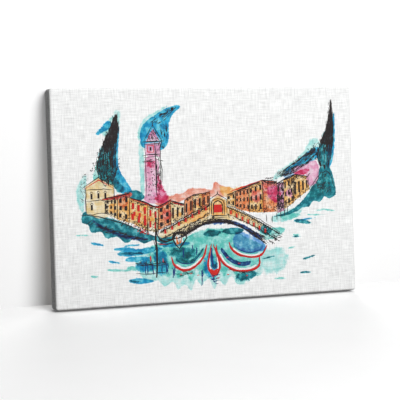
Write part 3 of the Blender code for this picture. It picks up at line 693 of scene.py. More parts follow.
def small_boats(art):
    """Four moored boats, seen from above, with white hulls and red gunwales."""
    hulls = (
        (
            [(221, 86), (226, 70), (243, 60), (264, 64), (284, 82), (292, 106)],
            [(230, 78), (246, 71), (264, 74), (282, 92)], "teal",
        ),
        (
            [(336, 108), (340, 96), (354, 84), (380, 77), (402, 80), (414, 98)],
            [(346, 98), (360, 90), (380, 85), (402, 90)], "sky",
        ),
        (
            [(311, 104), (312, 88), (326, 66), (350, 53), (378, 52), (396, 60), (397, 80)],
            [(320, 90), (336, 72), (356, 62), (376, 62)], "navy",
        ),
        (
            [(301, 106), (295, 80), (294, 62), (301, 49), (311, 50), (316, 64), (312, 82), (304, 106)],
            [(302, 84), (301, 64), (308, 60), (309, 78)], "teal",
        ),
    )
    for rim, inside, pigment in hulls:
        heart = np.mean(rim, axis=0)
        inner_rim = [tuple(between(point, heart, 0.12)) for point in rim[1:-1]]
        art.line("white", inner_rim, 4.6, shake=0.1, taper=0.3)
        art.wash(pigment, inside + shifted(inside[::-1], 2, 7))
        art.line("navy_line", inside, 1.2, shake=0.3)
        art.line("red", rim, 3.9, shake=0.15, taper=0.12)
        art.line("ink", [between(point, heart, -0.07) for point in rim[1:-1]], 0.9, shake=0.3)
        for end in (rim[:2], rim[-2:]):
            art.line("ink", end, 0.9, shake=0.2)
    art.line("red", [(297, 58), (304, 51), (313, 58)], 6.0, shake=0.2)
    art.line("navy_line", [(301, 98), (300, 76), (304, 66)], 2.4, shake=0.2)
    posts = (
        (223, 46, 20), (279, 28, 30), (244, 82, 18), (270, 86, 16),
        (302, 34, 12), (281, 44, 14), (226, 50, 18), (262, 96, 10),
    )
    for x, y, tall in posts:
        art.line("navy_line", [(x, y), (x + 1, y + tall / 2), (x, y + tall)], 1.6, shake=0.4)
    glints = (
        (236, 52), (256, 52), (310, 40), (368, 42), (330, 46),
        (283, 74), (353, 66), (330, 78), (270, 48), (300, 44),
    )
    for x, y in glints:
        art.line("red", [(x, y), (x + 5, y + 0.5)], 1.2, shake=0.4)
    art.hatch("ink", [(228, 56), (262, 58), (262, 50), (232, 48)], 0, 7, 20, 0.7)
    art.hatch("ink", [(320, 62), (350, 48), (378, 46), (394, 56), (378, 50), (350, 52)], -8, 7, 18, 0.7)
    art.hatch("navy_line", [(294, 46), (316, 48), (312, 30), (296, 32)], 10, 6, 22, 0.8)


def lamp_and_jetty(art):
    """A street lamp on its post, and the jetty beside it."""
    art.line("ink", [(193, 166), (192, 120), (193, 84), (191, 48)], 2.6, shake=0.4, taper=0.8)
    art.line("ink", [(193, 134), (198, 121), (208, 115), (222, 117), (232, 128)], 2.4, shake=0.3)
    art.line("ink", [(194, 112), (212, 109), (226, 112)], 1.4, shake=0.3)
    art.line("red", [(196, 110), (212, 109)], 1.2)
    art.line("ink", [(187, 146), (193, 150), (200, 146)], 1.2, shake=0.3)
    art.line("ink", [(186, 120), (191, 104), (188, 98)], 1.2, shake=0.4)
    lantern = [
        (223, 121), (231, 128), (244, 128), (253, 120), (244, 108), (237, 100), (230, 108), (223, 121),
    ]
    art.line("white", [(230, 118), (244, 118)], 12.0, shake=0.0, taper=0.9)
    art.line("red_orange", [(232, 122), (234, 108)], 3.4, shake=0.1, taper=0.8)
    art.line("red_orange", [(242, 122), (239, 110)], 2.2, shake=0.1, taper=0.8)
    art.line("ink", lantern, 2.0, shake=0.2, round_it=False, taper=0.9)
    art.line("ink", [(224, 124), (231, 130), (245, 130), (252, 123)], 2.4, shake=0.3, taper=0.8)
    for x in (231, 237, 243):
        art.line("ink", [(x, 126), (237 + (x - 237) * 0.35, 104)], 1.3, shake=0.2)
    art.line("ink", [(237, 128), (239, 136)], 1.6)
    for x in (170, 174, 184, 202, 210, 213):
        art.line("navy_line", [(x, 76), (x + 0.5, 54)], 1.5, shake=0.4)
    for y in (77, 74, 58):
        art.line("ink", [(152, y + 1), (180, y - 2), (214, y)], 1.0, shake=0.8)
    for x in (162, 172, 181, 198, 208):
        art.line("ink", [(x, 82), (x, 72)], 1.1, shake=0.3)
    art.line("red", [(180, 90), (181, 78)], 1.8, shake=0.2)
    art.line("red", [(204, 84), (205, 76)], 1.2, shake=0.2)
    art.hatch("ink", [(152, 80), (212, 80), (212, 72), (152, 72)], 10, 5, 30, 0.7, spread=40)


def harbour_view():
    """The whole picture. Later areas lie over earlier ones of the same pigment."""
    art = Drawing(SEED)
    water(art)
    left_bank(art)
    right_headland(art)
    bell_tower(art)
    left_houses(art)
    right_houses(art)
    arched_bridge(art)
    small_boats(art)
    lamp_and_jetty(art)
    return art


# ---------------------------------------------------------------------------
# Shader node groups
# ---------------------------------------------------------------------------


class Graph:
    """Adds nodes to a node tree and links them by socket name or number."""

    def __init__(self, tree):
        self.tree = tree

    def feed(self, node, inputs):
        """Links sockets to a node's inputs, and sets the other values on them."""
        for key, value in inputs.items():
            if isinstance(value, bpy.types.NodeSocket):
                self.tree.links.new(value, node.inputs[key])
            else:
                node.inputs[key].default_value = value

    def add(self, kind, inputs=None, **settings):
        node = self.tree.nodes.new(kind)
        for name, value in settings.items():
            setattr(node, name, value)
        self.feed(node, inputs or {})
        return node

    def group(self, tree, inputs):
        return self.add("ShaderNodeGroup", inputs, node_tree=tree).outputs

    def place(self):
        """Where each point is on its own object."""
        return self.add("ShaderNodeTexCoord").outputs["Object"]

    def math(self, operation, a, b=0.0, c=0.0):
        return self.add("ShaderNodeMath", {0: a, 1: b, 2: c}, operation=operation).outputs[0]

    def times(self, a, b):
        return self.math("MULTIPLY", a, b)

    def plus(self, a, b):
        return self.math("ADD", a, b)

    def scaled(self, value, factor, more):
        """The value times a factor, and then more added."""
        return self.math("MULTIPLY_ADD", value, factor, more)

    def noise(self, vector, scale, detail=2.0, roughness=0.5):
        inputs = {"Vector": vector, "Scale": scale, "Detail": detail, "Roughness": roughness}
        return self.add("ShaderNodeTexNoise", inputs).outputs["Fac"]

    def stretch(self, vector, scale):
        return self.add("ShaderNodeMapping", {"Vector": vector, "Scale": scale}).outputs["Vector"]

    def smooth(self, value, low, high, to_low=0.0, to_high=1.0):
        inputs = {"Value": value, "From Min": low, "From Max": high, "To Min": to_low, "To Max": to_high}
        return self.add("ShaderNodeMapRange", inputs, interpolation_type="SMOOTHSTEP").outputs["Result"]

    def mix(self, factor, a, b, blend="MIX"):
        node = self.add(
            "ShaderNodeMix", {0: factor, 6: a, 7: b}, data_type="RGBA", blend_type=blend, clamp_factor=True
        )
        return node.outputs[2]

    def shade(self, tint, factor):
        """The colour made lighter or darker by a factor."""
        grey = self.add("ShaderNodeCombineColor", {0: factor, 1: factor, 2: factor}).outputs[0]
        return self.mix(1.0, tint, grey, "MULTIPLY")


def shader_group(name, inputs, outputs, wire):
    """The node group of this name. wire adds its nodes the first time that it is asked for."""
    if name in bpy.data.node_groups:
        return bpy.data.node_groups[name]
    tree = bpy.data.node_groups.new(name, "ShaderNodeTree")
    for socket, kind, default in inputs:
        item = tree.interface.new_socket(name=socket, in_out="INPUT", socket_type="NodeSocket" + kind)
        if default is not None:
            item.default_value = default
    for socket, kind in outputs:
        tree.interface.new_socket(name=socket, in_out="OUTPUT", socket_type="NodeSocket" + kind)
    graph = Graph(tree)
    start = graph.add("NodeGroupInput").outputs
    graph.feed(graph.add("NodeGroupOutput"), wire(graph, start))
    return tree


def weave_group():
    """Plain weave: threads over and under, with thicker threads here and there. Height is the relief; Slub
    shade is a painted shade, lighter along the thicker threads.
    """
    return shader_group(
        "plain weave",
        (("Vector", "Vector", None), ("Pitch", "Float", 0.0021), ("Wander", "Float", 0.4)),
        (("Height", "Float"), ("Slub", "Float")),
        wire_weave,
    )


def wire_weave(graph, start):
    along = graph.noise(graph.stretch(start["Vector"], (42, 520, 1)), 1.0, 2.0, 0.65)
    across = graph.noise(graph.stretch(start["Vector"], (500, 40, 1)), 1.0, 2.0, 0.65)
    split = graph.add("ShaderNodeSeparateXYZ", {0: start["Vector"]}).outputs
    turns = []
    for place, drift in ((split["X"], across), (split["Y"], along)):
        count = graph.math("DIVIDE", place, start["Pitch"])
        wandering = graph.scaled(drift, start["Wander"], count)
        turns.append(graph.times(wandering, math.pi))
    over, crossing = (
        graph.times(graph.math(wave, turns[0]), graph.math(wave, turns[1])) for wave in ("SINE", "COSINE")
    )
    # thicker threads: they raise the height, and the same pattern goes out as a painted shade
    slub = graph.math("SUBTRACT", graph.plus(along, across), 1.0)
    height = graph.plus(graph.math("ABSOLUTE", over), graph.times(graph.math("ABSOLUTE", crossing), 0.6))
    height = graph.plus(height, graph.times(crossing, 0.5))
    height = graph.plus(graph.times(height, 0.5), graph.times(slub, 1.1))
    return {"Height": height, "Slub": slub}


def wash_group():
    """One watercolour wash over what is below it, with a wet edge and grains of pigment."""
    return shader_group(
        "watercolour wash",
        (
            ("Below", "Color", None), ("Pigment", "Color", None), ("Inside", "Float", 0.0),
            ("Wobble", "Float", 0.5), ("Grain", "Float", 0.5), ("Flow", "Float", 0.5),
            ("Body", "Float", 0.3), ("Cloth", "Color", None),
        ),
        (("Color", "Color"),),
        wire_wash,
    )


def wire_wash(graph, start):
    shift = graph.times(graph.math("SUBTRACT", start["Wobble"], 0.5), 6.5)
    inside = graph.plus(start["Inside"], shift)
    cover = graph.smooth(inside, -0.6, 0.9)
    wet_edge = graph.smooth(inside, 2.6, 0.6, 1.0, 1.25)
    flow = graph.smooth(start["Flow"], 0.36, 0.66, 1.15, 0.38)
    grains = graph.smooth(start["Grain"], 0.30, 0.62, 0.62, 1.08)
    amount = graph.times(graph.times(cover, wet_edge), graph.times(flow, grains))
    pigment = graph.add("ShaderNodeSeparateColor", {0: start["Pigment"]}).outputs
    passed = [graph.math("POWER", pigment[k], amount) for k in range(3)]
    film = graph.add("ShaderNodeCombineColor", {0: passed[0], 1: passed[1], 2: passed[2]}).outputs[0]
    hidden = graph.times(cover, start["Body"])
    below = graph.mix(hidden, start["Below"], start["Cloth"])
    return {"Color": graph.mix(1.0, below, film, "MULTIPLY")}


def grain_group():
    """Straight-grained timber, with the grain along X: growth bands, pores and a few dark flecks."""
    return shader_group(
        "straight grain",
        (
            ("Vector", "Vector", None), ("Band", "Float", 0.006),
            ("Early", "Color", None), ("Late", "Color", None),
        ),
        (("Color", "Color"), ("Height", "Float")),
        wire_grain,
    )


def wire_grain(graph, start):
    bend = graph.noise(graph.stretch(start["Vector"], (3.0, 30, 30)), 1.0, 2.0)
    split = graph.add("ShaderNodeSeparateXYZ", {0: start["Vector"]}).outputs
    radius = graph.plus(split["Y"], graph.times(split["Z"], 0.55))
    rings = graph.plus(graph.math("DIVIDE", radius, start["Band"]), graph.times(bend, 3.2))
    saw = graph.math("FRACT", rings)
    late = graph.times(graph.smooth(saw, 0.35, 0.92), graph.smooth(saw, 1.0, 0.93))
    fibre = graph.noise(graph.stretch(start["Vector"], (22, 900, 900)), 1.0, 3.0, 0.6)
    patch = graph.noise(graph.stretch(start["Vector"], (4, 18, 18)), 1.0, 2.0)
    fleck = graph.smooth(graph.noise(graph.stretch(start["Vector"], (60, 1400, 1400)), 1.0), 0.70, 0.78)
    tint = graph.mix(graph.times(late, 0.75), start["Early"], start["Late"])
    tint = graph.shade(tint, graph.smooth(fibre, 0.25, 0.75, 0.86, 1.08))
    tint = graph.shade(tint, graph.smooth(patch, 0.3, 0.7, 0.9, 1.06))
    tint = graph.mix(graph.times(fleck, 0.45), tint, start["Late"])
    height = graph.plus(graph.times(fibre, 0.7), graph.times(late, 0.4))
    return {"Color": tint, "Height": height}


def wear_group():
    """Fine scratches, dull spots and stains of handling, for metal and rubber."""
    return shader_group(
        "handling wear",
        (("Vector", "Vector", None), ("Spot size", "Float", 0.002)),
        (("Scratch", "Float"), ("Spot", "Float"), ("Grain", "Float")),
        wire_wear,
    )


def wire_wear(graph, start):
    per_spot = graph.math("DIVIDE", 1.0, start["Spot size"])
    spot = graph.smooth(graph.noise(start["Vector"], per_spot, 4.0, 0.6), 0.42, 0.66)
    lines = graph.noise(graph.stretch(start["Vector"], (260, 5200, 2600)), 1.0, 2.0)
    scratch = graph.smooth(lines, 0.60, 0.72)
    grain = graph.noise(start["Vector"], 5200.0, 2.0)
    return {"Scratch": scratch, "Spot": spot, "Grain": grain}


# ---------------------------------------------------------------------------
# Materials
# ---------------------------------------------------------------------------


def start_material(name, roughness, metallic=0.0):
    """A new material, its graph and its Principled shader."""
    look = bpy.data.materials.new(name)
    look.use_nodes = True
    graph = Graph(look.node_tree)
    shader = graph.tree.nodes["Principled BSDF"]
    graph.feed(shader, {"Roughness": roughness, "Metallic": metallic})
    return look, graph, shader


def bump(graph, shader, height, strength, distance):
    node = graph.add("ShaderNodeBump", {"Height": height, "Strength": strength, "Distance": distance})
    graph.feed(shader, {"Normal": node.outputs["Normal"]})


def solid(tint):
    return (*tint, 1.0)


def painted_cloth(cloth, paint):
    """Primed cloth with the washes on it, and painted shade of its weave."""
    look, graph, shader = start_material("painted cloth", 0.72)
    graph.feed(shader, {"Specular IOR Level": 0.25})
    flat = graph.add("ShaderNodeUVMap", uv_map="cloth").outputs["UV"]
    weave = graph.group(weave_group(), {"Vector": flat, "Pitch": cloth.thread_pitch})
    wobble = graph.plus(
        graph.times(graph.noise(flat, 130.0, 2.0), 0.55),
        graph.times(graph.noise(flat, 480.0, 3.0, 0.65), 0.45),
    )
    grain = graph.noise(flat, 900.0, 3.0, 0.7)
    flow = graph.noise(flat, 75.0, 4.0, 0.6)
    tint = solid(cloth.primer)
    for pigment in PIGMENTS:
        area = graph.add("ShaderNodeAttribute", attribute_name=pigment, attribute_type="GEOMETRY")
        tint = graph.group(wash_group(), {
            "Below": tint, "Pigment": solid(getattr(paint, pigment)), "Inside": area.outputs["Fac"],
            "Wobble": wobble, "Grain": grain, "Flow": flow,
            "Body": 0.85 if pigment in BODY_COLOURS else 0.2, "Cloth": solid(cloth.primer),
        })["Color"]
    # painted shade of the weave: lighter along the thicker threads and darker in the hollows between the
    # threads
    threads = graph.scaled(weave["Slub"], 0.5, 1.0)
    painted_weave_shade = graph.scaled(weave["Height"], 0.09, 0.955)
    tint = graph.shade(graph.shade(tint, threads), painted_weave_shade)
    graph.feed(shader, {"Base Color": tint, "Roughness": graph.smooth(grain, 0.3, 0.7, 0.64, 0.82)})
    bump(graph, shader, weave["Height"], 0.35, 0.00022)
    return look


def raw_cloth(cloth):
    """The side of the cloth that was never primed, with painted shade of its weave."""
    look, graph, shader = start_material("raw cloth", 0.93)
    flat = graph.add("ShaderNodeUVMap", uv_map="cloth").outputs["UV"]
    weave = graph.group(weave_group(), {"Vector": flat, "Pitch": cloth.thread_pitch, "Wander": 0.7})
    stain = graph.smooth(graph.noise(flat, 9.0, 4.0, 0.6), 0.35, 0.7, 0.92, 1.03)
    # painted shade of the weave: lighter along the thicker threads and darker in the hollows; the stain is
    # the cloth's own
    tint = graph.shade(solid(cloth.raw), graph.scaled(weave["Slub"], 0.6, 1.0))
    tint = graph.shade(graph.shade(tint, stain), graph.scaled(weave["Height"], 0.30, 0.84))
    graph.feed(shader, {"Base Color": tint})
    bump(graph, shader, weave["Height"], 0.7, 0.0003)
    return look


def paint_line(name, tint, roughness, pale):
    """Dried ink or gouache: thin where the pen ran dry."""
    look, graph, shader = start_material(name, roughness)
    place = graph.place()
    dry = graph.smooth(graph.noise(place, 420.0, 3.0, 0.6), 0.48, 0.72)
    pool = graph.smooth(graph.noise(place, 1500.0, 2.0), 0.35, 0.65, 0.75, 1.15)
    thin = tuple(channel + (0.55 - channel) * pale for channel in tint)
    colour_here = graph.shade(graph.mix(dry, solid(tint), solid(thin)), pool)
    graph.feed(shader, {
        "Base Color": colour_here, "Roughness": graph.smooth(dry, 0.0, 1.0, roughness, 0.9),
        "Specular IOR Level": 0.15,
    })
    bump(graph, shader, pool, 0.2, 0.00005)
    return look


def timber(name, early, late, band, along, roughness):
    """Planed timber whose grain runs along the axis called along."""
    look, graph, shader = start_material(name, roughness)
    place = graph.place()
    if along == "Z":
        split = graph.add("ShaderNodeSeparateXYZ", {0: place}).outputs
        place = graph.add("ShaderNodeCombineXYZ", {0: split["Z"], 1: split["X"], 2: split["Y"]}).outputs[0]
    values = {"Vector": place, "Band": band, "Early": solid(early), "Late": solid(late)}
    wood = graph.group(grain_group(), values)
    rough = graph.smooth(wood["Height"], 0.2, 0.9, roughness + 0.08, roughness - 0.08)
    graph.feed(shader, {"Base Color": wood["Color"], "Roughness": rough})
    bump(graph, shader, wood["Height"], 0.30, 0.0002)
    return look


def plated_metal(name, tint, dull, roughness, spot_size):
    """Plated steel with scratches and duller spots."""
    look, graph, shader = start_material(name, roughness, 1.0)
    place = graph.place()
    wear = graph.group(wear_group(), {"Vector": place, "Spot size": spot_size})
    here = graph.mix(graph.times(wear["Spot"], 0.7), solid(tint), solid(dull))
    here = graph.shade(here, graph.smooth(wear["Grain"], 0.3, 0.7, 0.94, 1.04))
    rough = graph.plus(graph.times(wear["Spot"], 0.16), graph.scaled(wear["Scratch"], 0.12, roughness))
    graph.feed(shader, {"Base Color": here, "Roughness": rough})
    bump(graph, shader, graph.plus(wear["Scratch"], wear["Grain"]), 0.12, 0.00004)
    return look


def rubber(name, tint):
    """Soft translucent rubber with dust on it."""
    look, graph, shader = start_material(name, 0.42)
    place = graph.place()
    wear = graph.group(wear_group(), {"Vector": place, "Spot size": 0.0015})
    dust = (0.62, 0.61, 0.58)
    graph.feed(shader, {
        "Base Color": graph.mix(graph.times(wear["Spot"], 0.5), solid(tint), solid(dust)),
        "Roughness": graph.scaled(wear["Spot"], 0.3, 0.36),
        "Subsurface Weight": 0.25, "Subsurface Radius": (0.002, 0.002, 0.002),
    })
    bump(graph, shader, wear["Grain"], 0.15, 0.00005)
    return look


def one_of_each(name, make, *values):
    """A material that more than one piece uses is made once."""
    return bpy.data.materials.get(name) or make(name, *values)


# ---------------------------------------------------------------------------
# Mesh making
# ---------------------------------------------------------------------------


def put_in_scene(name, data):
    item = bpy.data.objects.new(name, data)
    bpy.context.scene.collection.objects.link(item)
    return item


def new_piece(name, vertices, faces, looks, material_numbers=None, smooth_faces=True):
    mesh = bpy.data.meshes.new(name)
    mesh.from_pydata([tuple(v) for v in vertices], [], faces)
    for look in looks:
        mesh.materials.append(look)
    if material_numbers is not None:
        mesh.polygons.foreach_set("material_index", material_numbers)
    if smooth_faces:
        mesh.shade_smooth()
    mesh.validate()
    return put_in_scene(name, mesh)


def from_bmesh(name, bm, look, sharp_angle=40.0):
    mesh = bpy.data.meshes.new(name)
    bmesh.ops.recalc_face_normals(bm, faces=bm.faces)
    bm.to_mesh(mesh)
    bm.free()
    mesh.materials.append(look)
    mesh.shade_smooth()
    mesh.set_sharp_from_angle(angle=math.radians(sharp_angle))
    return put_in_scene(name, mesh)


def add_layer(mesh, name, places):
    """A UV map from one place for each vertex."""
    layer = mesh.uv_layers.new(name=name)
    corner_vertices = np.zeros(len(mesh.loops), int)
    mesh.loops.foreach_get("vertex_index", corner_vertices)
    layer.data.foreach_set("uv", np.asarray(places, float)[corner_vertices].ravel())


def round_path(points, radius, steps=8):
    """A polyline with its corners rounded by arcs."""
    out = []
    for i, point in enumerate(points):
        here = Vector(point)
        if i in (0, len(points) - 1):
            out.append(here)
            continue
        before = Vector(points[i - 1]) - here
        after = Vector(points[i + 1]) - here
        half_turn = before.angle(after) / 2
        reach = min(radius / math.tan(half_turn), before.length * 0.49, after.length * 0.49)
        bend = reach * math.tan(half_turn)
        middle = here + (before.normalized() + after.normalized()).normalized() * (bend / math.sin(half_turn))
        start = here + before.normalized() * reach - middle
        end = here + after.normalized() * reach - middle
        turn = start.angle(end)
        for k in range(steps + 1):
            t = k / steps
            swept = start * math.sin((1 - t) * turn) + end * math.sin(t * turn)
            out.append(middle + swept / math.sin(turn))
    return out


def tube(bm, path, radius, sides=14, closed=False):
    """A round wire along a path."""
    n = len(path)
    rings = []
    normal = None
    for i, point in enumerate(path):
        ahead = path[(i + 1) % n] if closed or i < n - 1 else point
        behind = path[i - 1] if closed or i > 0 else point
        tangent = (Vector(ahead) - Vector(behind)).normalized()
        if normal is None:
            normal = tangent.orthogonal().normalized()
        normal = (normal - tangent * normal.dot(tangent)).normalized()
        side = tangent.cross(normal)
        ring = []
        for k in range(sides):
            a = 2 * math.pi * k / sides
            ring.append(bm.verts.new(Vector(point) + (normal * math.cos(a) + side * math.sin(a)) * radius))
        rings.append(ring)
    for i in range(n if closed else n - 1):
        here, there = rings[i], rings[(i + 1) % n]
        for k in range(sides):
            m = (k + 1) % sides
            bm.faces.new((here[k], here[m], there[m], there[k]))
    if not closed:
        bm.faces.new(rings[0][::-1])
        bm.faces.new(rings[-1])


def turned(bm, profile, centre, steps=40):
    """A shape turned about the Y axis through centre. profile lists (radius, y)."""
    rings = []
    for radius, y in profile:
        if radius < 1e-7:
            rings.append([bm.verts.new((centre[0], y, centre[2]))])
            continue
        ring = []
        for k in range(steps):
            a = 2 * math.pi * k / steps
            ring.append(bm.verts.new((centre[0] + radius * math.cos(a), y, centre[2] + radius * math.sin(a))))
        rings.append(ring)
    for here, there in zip(rings, rings[1:]):
        for k in range(steps):
            m = (k + 1) % steps
            corners = [here[k % len(here)], here[m % len(here)], there[m % len(there)], there[k % len(there)]]
            corners = list(dict.fromkeys(corners))
            if len(corners) > 2:
                bm.faces.new(corners)


def soften(node, width):
    """Rounds a piece's sharp edges."""
    rounding = node.modifiers.new("soft edges", "BEVEL")
    rounding.width = width
    rounding.segments = 2
    rounding.limit_method = "ANGLE"
    rounding.angle_limit = math.radians(35)
    rounding.harden_normals = True


def dress(node, look):
    """Gives a CAD node its own finish."""
    node.data.materials.clear()
    node.data.materials.append(look)


def named(prefix):
    return sorted(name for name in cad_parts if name.startswith(prefix))


def long_axis(name):
    """The axis along which a CAD node is longer."""
    low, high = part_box(name)
    return "X" if high.x - low.x > high.z - low.z else "Z"


# ---------------------------------------------------------------------------
# The cloth
# ---------------------------------------------------------------------------

CORNER_STEPS = 6
EDGE_STEPS = 6
SIDE_STEPS = 10
FLANGE_STEPS = 16
LEAST_RADIUS = 0.0006  # of the turned-over cloth's corners
FOLD_WIDTH = 0.021  # of the folded cloth at each corner
FOLD_HEIGHT = 0.0006
FOLD_RAMP = 0.0016  # over which a fold's edge rises
TUCK_HEIGHT = 0.0004
MITRE_RAMP = 0.002  # over which the tuck's slanting edge rises
MITRE_SHIFT = 0.004  # of that edge from the corner's diagonal
PUCKER_HEIGHT = 0.00022  # of the cloth between its staples
PUCKER_REACH = 0.009  # how far a staple holds the cloth down
RIPPLE = (310, 270, 90)  # radians in a metre, for waves about two centimetres long
FRAY = 0.0004  # how far the cut edge wanders
YARN_RADIUS = 0.00011
YARN_ROOT = 0.0006  # how far a loose end starts inside the cloth
YARN_MARGIN = 0.004  # without loose ends, at each end of a side


class ClothShape:
    """Where the cloth runs: over the front, round the sides and onto the back of the frame."""

    def __init__(self, sizes):
        self.thick = sizes.thickness
        self.radius = sizes.corner_radius
        self.half_width = PICTURE_WIDTH / 2 - self.radius
        self.half_height = PICTURE_HEIGHT / 2 - self.radius
        self.middle = Vector((canvas_low.x + PICTURE_WIDTH / 2, 0, canvas_low.z + PICTURE_HEIGHT / 2))
        self.path = self.cross_section(sizes.edge_radius, sizes.flange)
        self.columns = round(2 * self.half_width / sizes.grid)
        self.rows = round(2 * self.half_height / sizes.grid)
        self.ring = self.ring_round()

    def cross_section(self, edge, flange):
        """(out from the front's edge, y, the outer normal's two parts, length along the cloth)."""
        front, back = canvas_low.y, canvas_high.y
        core = self.radius - edge
        points = [(core * 0.5, front, 0.0, -1.0)]
        for k in range(EDGE_STEPS + 1):
            a = math.pi / 2 * k / EDGE_STEPS
            sine, cosine = math.sin(a), math.cos(a)
            points.append((core + edge * sine, front + edge * (1 - cosine), sine, -cosine))
        for k in range(1, SIDE_STEPS):
            points.append((self.radius, front + edge + (back - front - 2 * edge) * k / SIDE_STEPS, 1.0, 0.0))
        for k in range(EDGE_STEPS + 1):
            a = math.pi / 2 * k / EDGE_STEPS
            sine, cosine = math.sin(a), math.cos(a)
            points.append((core + edge * cosine, back - edge * (1 - sine), cosine, sine))
        for k in range(1, FLANGE_STEPS + 1):
            points.append((core - (flange - edge) * k / FLANGE_STEPS, back, 0.0, 1.0))
        length, out, before = 0.0, [], (0.0, front)
        for offset, y, across, along in points:
            length += math.hypot(offset - before[0], y - before[1])
            before = (offset, y)
            out.append((offset, y, across, along, length))
        return out

    def ring_round(self):
        """(grid column, grid row, direction) for each point round the front's edge."""
        quarter = [math.pi / 2 * k / CORNER_STEPS for k in range(1, CORNER_STEPS)]
        ring = []
        sides = (
            ([(i, 0) for i in range(self.columns + 1)], -math.pi / 2),
            ([(self.columns, j) for j in range(self.rows + 1)], 0.0),
            ([(i, self.rows) for i in range(self.columns, -1, -1)], math.pi / 2),
            ([(0, j) for j in range(self.rows, -1, -1)], math.pi),
        )
        for cells, facing in sides:
            ring += [(i, j, facing) for i, j in cells]
            ring += [(*cells[-1], facing + turn) for turn in quarter]
        return ring

    def core_point(self, i, j):
        return (
            -self.half_width + 2 * self.half_width * i / self.columns,
            -self.half_height + 2 * self.half_height * j / self.rows,
        )

    def place(self, i, j, facing, offset):
        """A point round the edge, this far out from the front's straight edge, from the middle."""
        x, z = self.core_point(i, j)
        reach = max(offset, LEAST_RADIUS)
        inset = reach - offset
        x *= (self.half_width - inset) / self.half_width
        z *= (self.half_height - inset) / self.half_height
        return x + math.cos(facing) * reach, z + math.sin(facing) * reach

    def flat_place(self, i, j, facing, x, z, length):
        """Where that point is on the cloth when it lies flat."""
        core_x, core_z = self.core_point(i, j)
        straight = min(abs(math.cos(facing)), abs(math.sin(facing))) < 1e-6
        flat_x = core_x + math.cos(facing) * length
        flat_z = core_z + math.sin(facing) * length
        if straight and abs(math.sin(facing)) > 0.5:
            flat_x = x
        elif straight:
            flat_z = z
        return flat_x, flat_z

    def swell(self, x, z, facing, y, across, staples):
        """How far the cloth stands out at the corner folds and between the staples."""
        back, front = canvas_high.y, canvas_low.y
        # the cloth is folded over at the ends of the top and bottom sides
        upright = abs(math.sin(facing)) > 0.72
        depth = (y - front) / (back - front)
        from_end = PICTURE_WIDTH / 2 - abs(x)
        along, up, skew = RIPPLE
        ripple = 0.5 + 0.25 * math.sin(x * along + 1.3) + 0.25 * math.sin(z * up + x * skew)
        on_a_side = across > 0.7
        if on_a_side:
            fold = FOLD_WIDTH * (0.12 + 0.88 * depth)
            return FOLD_HEIGHT * depth * ease((fold - from_end) / FOLD_RAMP) if upright else 0.0
        if y < back - 0.001:
            return 0.0
        lift = TUCK_HEIGHT * ease((FOLD_WIDTH - from_end) / FOLD_RAMP) if upright else 0.0
        if upright:
            lift += TUCK_HEIGHT * ease((PICTURE_HEIGHT / 2 - abs(z) + MITRE_SHIFT - from_end) / MITRE_RAMP)
        nearest = min(math.hypot(x - sx, z - sz) for sx, sz in staples)
        lift += PUCKER_HEIGHT * ripple * (1 - math.exp(-((nearest / PUCKER_REACH) ** 2)))
        return lift


def ease(t):
    t = min(max(t, 0.0), 1.0)
    return t * t * (3 - 2 * t)


def make_cloth(sizes, paint):
    """The cloth as one closed sheet of its real thickness, with the washes as values on its front."""
    shape = ClothShape(sizes)
    middle = shape.middle
    staples = [
        (centre.x - middle.x, centre.z - middle.z)
        for centre in ((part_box(name)[0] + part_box(name)[1]) / 2 for name in named("staple_"))
    ]
    front = canvas_low.y
    vertices, flat, faces = [], [], []
    for j in range(shape.rows + 1):
        for i in range(shape.columns + 1):
            x, z = shape.core_point(i, j)
            vertices.append((middle.x + x, front, middle.z + z))
            flat.append((x, z))
    across = shape.columns + 1
    for j in range(shape.rows):
        for i in range(shape.columns):
            a = j * across + i
            faces.append((a, a + 1, a + 1 + across, a + across))
    before = [j * across + i for i, j, facing in shape.ring]
    outer_steps = len(shape.path)
    end = shape.path[-1][4]
    for step, (offset, y, out_part, y_part, length) in enumerate(shape.path + shape.path[::-1]):
        inner = step >= outer_steps
        if step == outer_steps:
            inner_from = len(vertices)
            inner_face = len(faces)
        now = []
        for i, j, facing in shape.ring:
            here = offset - (out_part * shape.thick if inner else 0.0)
            x, z = shape.place(i, j, facing, here)
            fray = FRAY * math.sin(i * 0.9 + j * 1.1) if length == end else 0.0
            x, z = x + fray * math.cos(facing), z + fray * math.sin(facing)
            lift = -shape.thick if inner else shape.swell(x, z, facing, y, out_part, staples)
            push = 0.0 if inner else out_part * lift
            now.append(len(vertices))
            vertices.append((
                middle.x + x + math.cos(facing) * push, y + y_part * lift,
                middle.z + z + math.sin(facing) * push,
            ))
            flat.append(shape.flat_place(i, j, facing, x, z, length))
        for k in range(len(now)):
            m = (k + 1) % len(now)
            corners = (before[k], now[k], now[m], before[m])
            faces.append(tuple(dict.fromkeys(corners)))
        before = now
    faces.append(tuple(before[::-1]))
    material_numbers = [0] * inner_face + [1] * (len(faces) - inner_face)
    looks = [painted_cloth(sizes, paint), raw_cloth(sizes)]
    cloth = new_piece("stretched_cloth", vertices, faces, looks, material_numbers)
    flat_size = (2 * (shape.half_width + end), 2 * (shape.half_height + end))
    inner = np.arange(len(vertices)) >= inner_from
    lay_flat(cloth.data, np.array(flat), flat_size, inner)
    lay_washes(cloth.data, np.array(vertices), inner)
    return cloth, flat_size


def lay_flat(mesh, flat, flat_size, inner):
    """The cloth's two UV maps: one in metres, and one for baking.

    In the one for baking, the inner side is a smaller copy under the outer side, and both keep a margin.
    """
    add_layer(mesh, "cloth", flat + np.array([PICTURE_WIDTH / 2, PICTURE_HEIGHT / 2]))
    unit = (flat + np.array(flat_size) / 2) / flat_size[0]
    low_strip = 1 - flat_size[1] / flat_size[0]
    bake = unit * 0.985 + np.array([0.0075, low_strip])
    bake[inner] = unit[inner] * (low_strip / flat_size[1] * flat_size[0] * 0.93) + 0.006
    add_layer(mesh, "OFBake", bake)


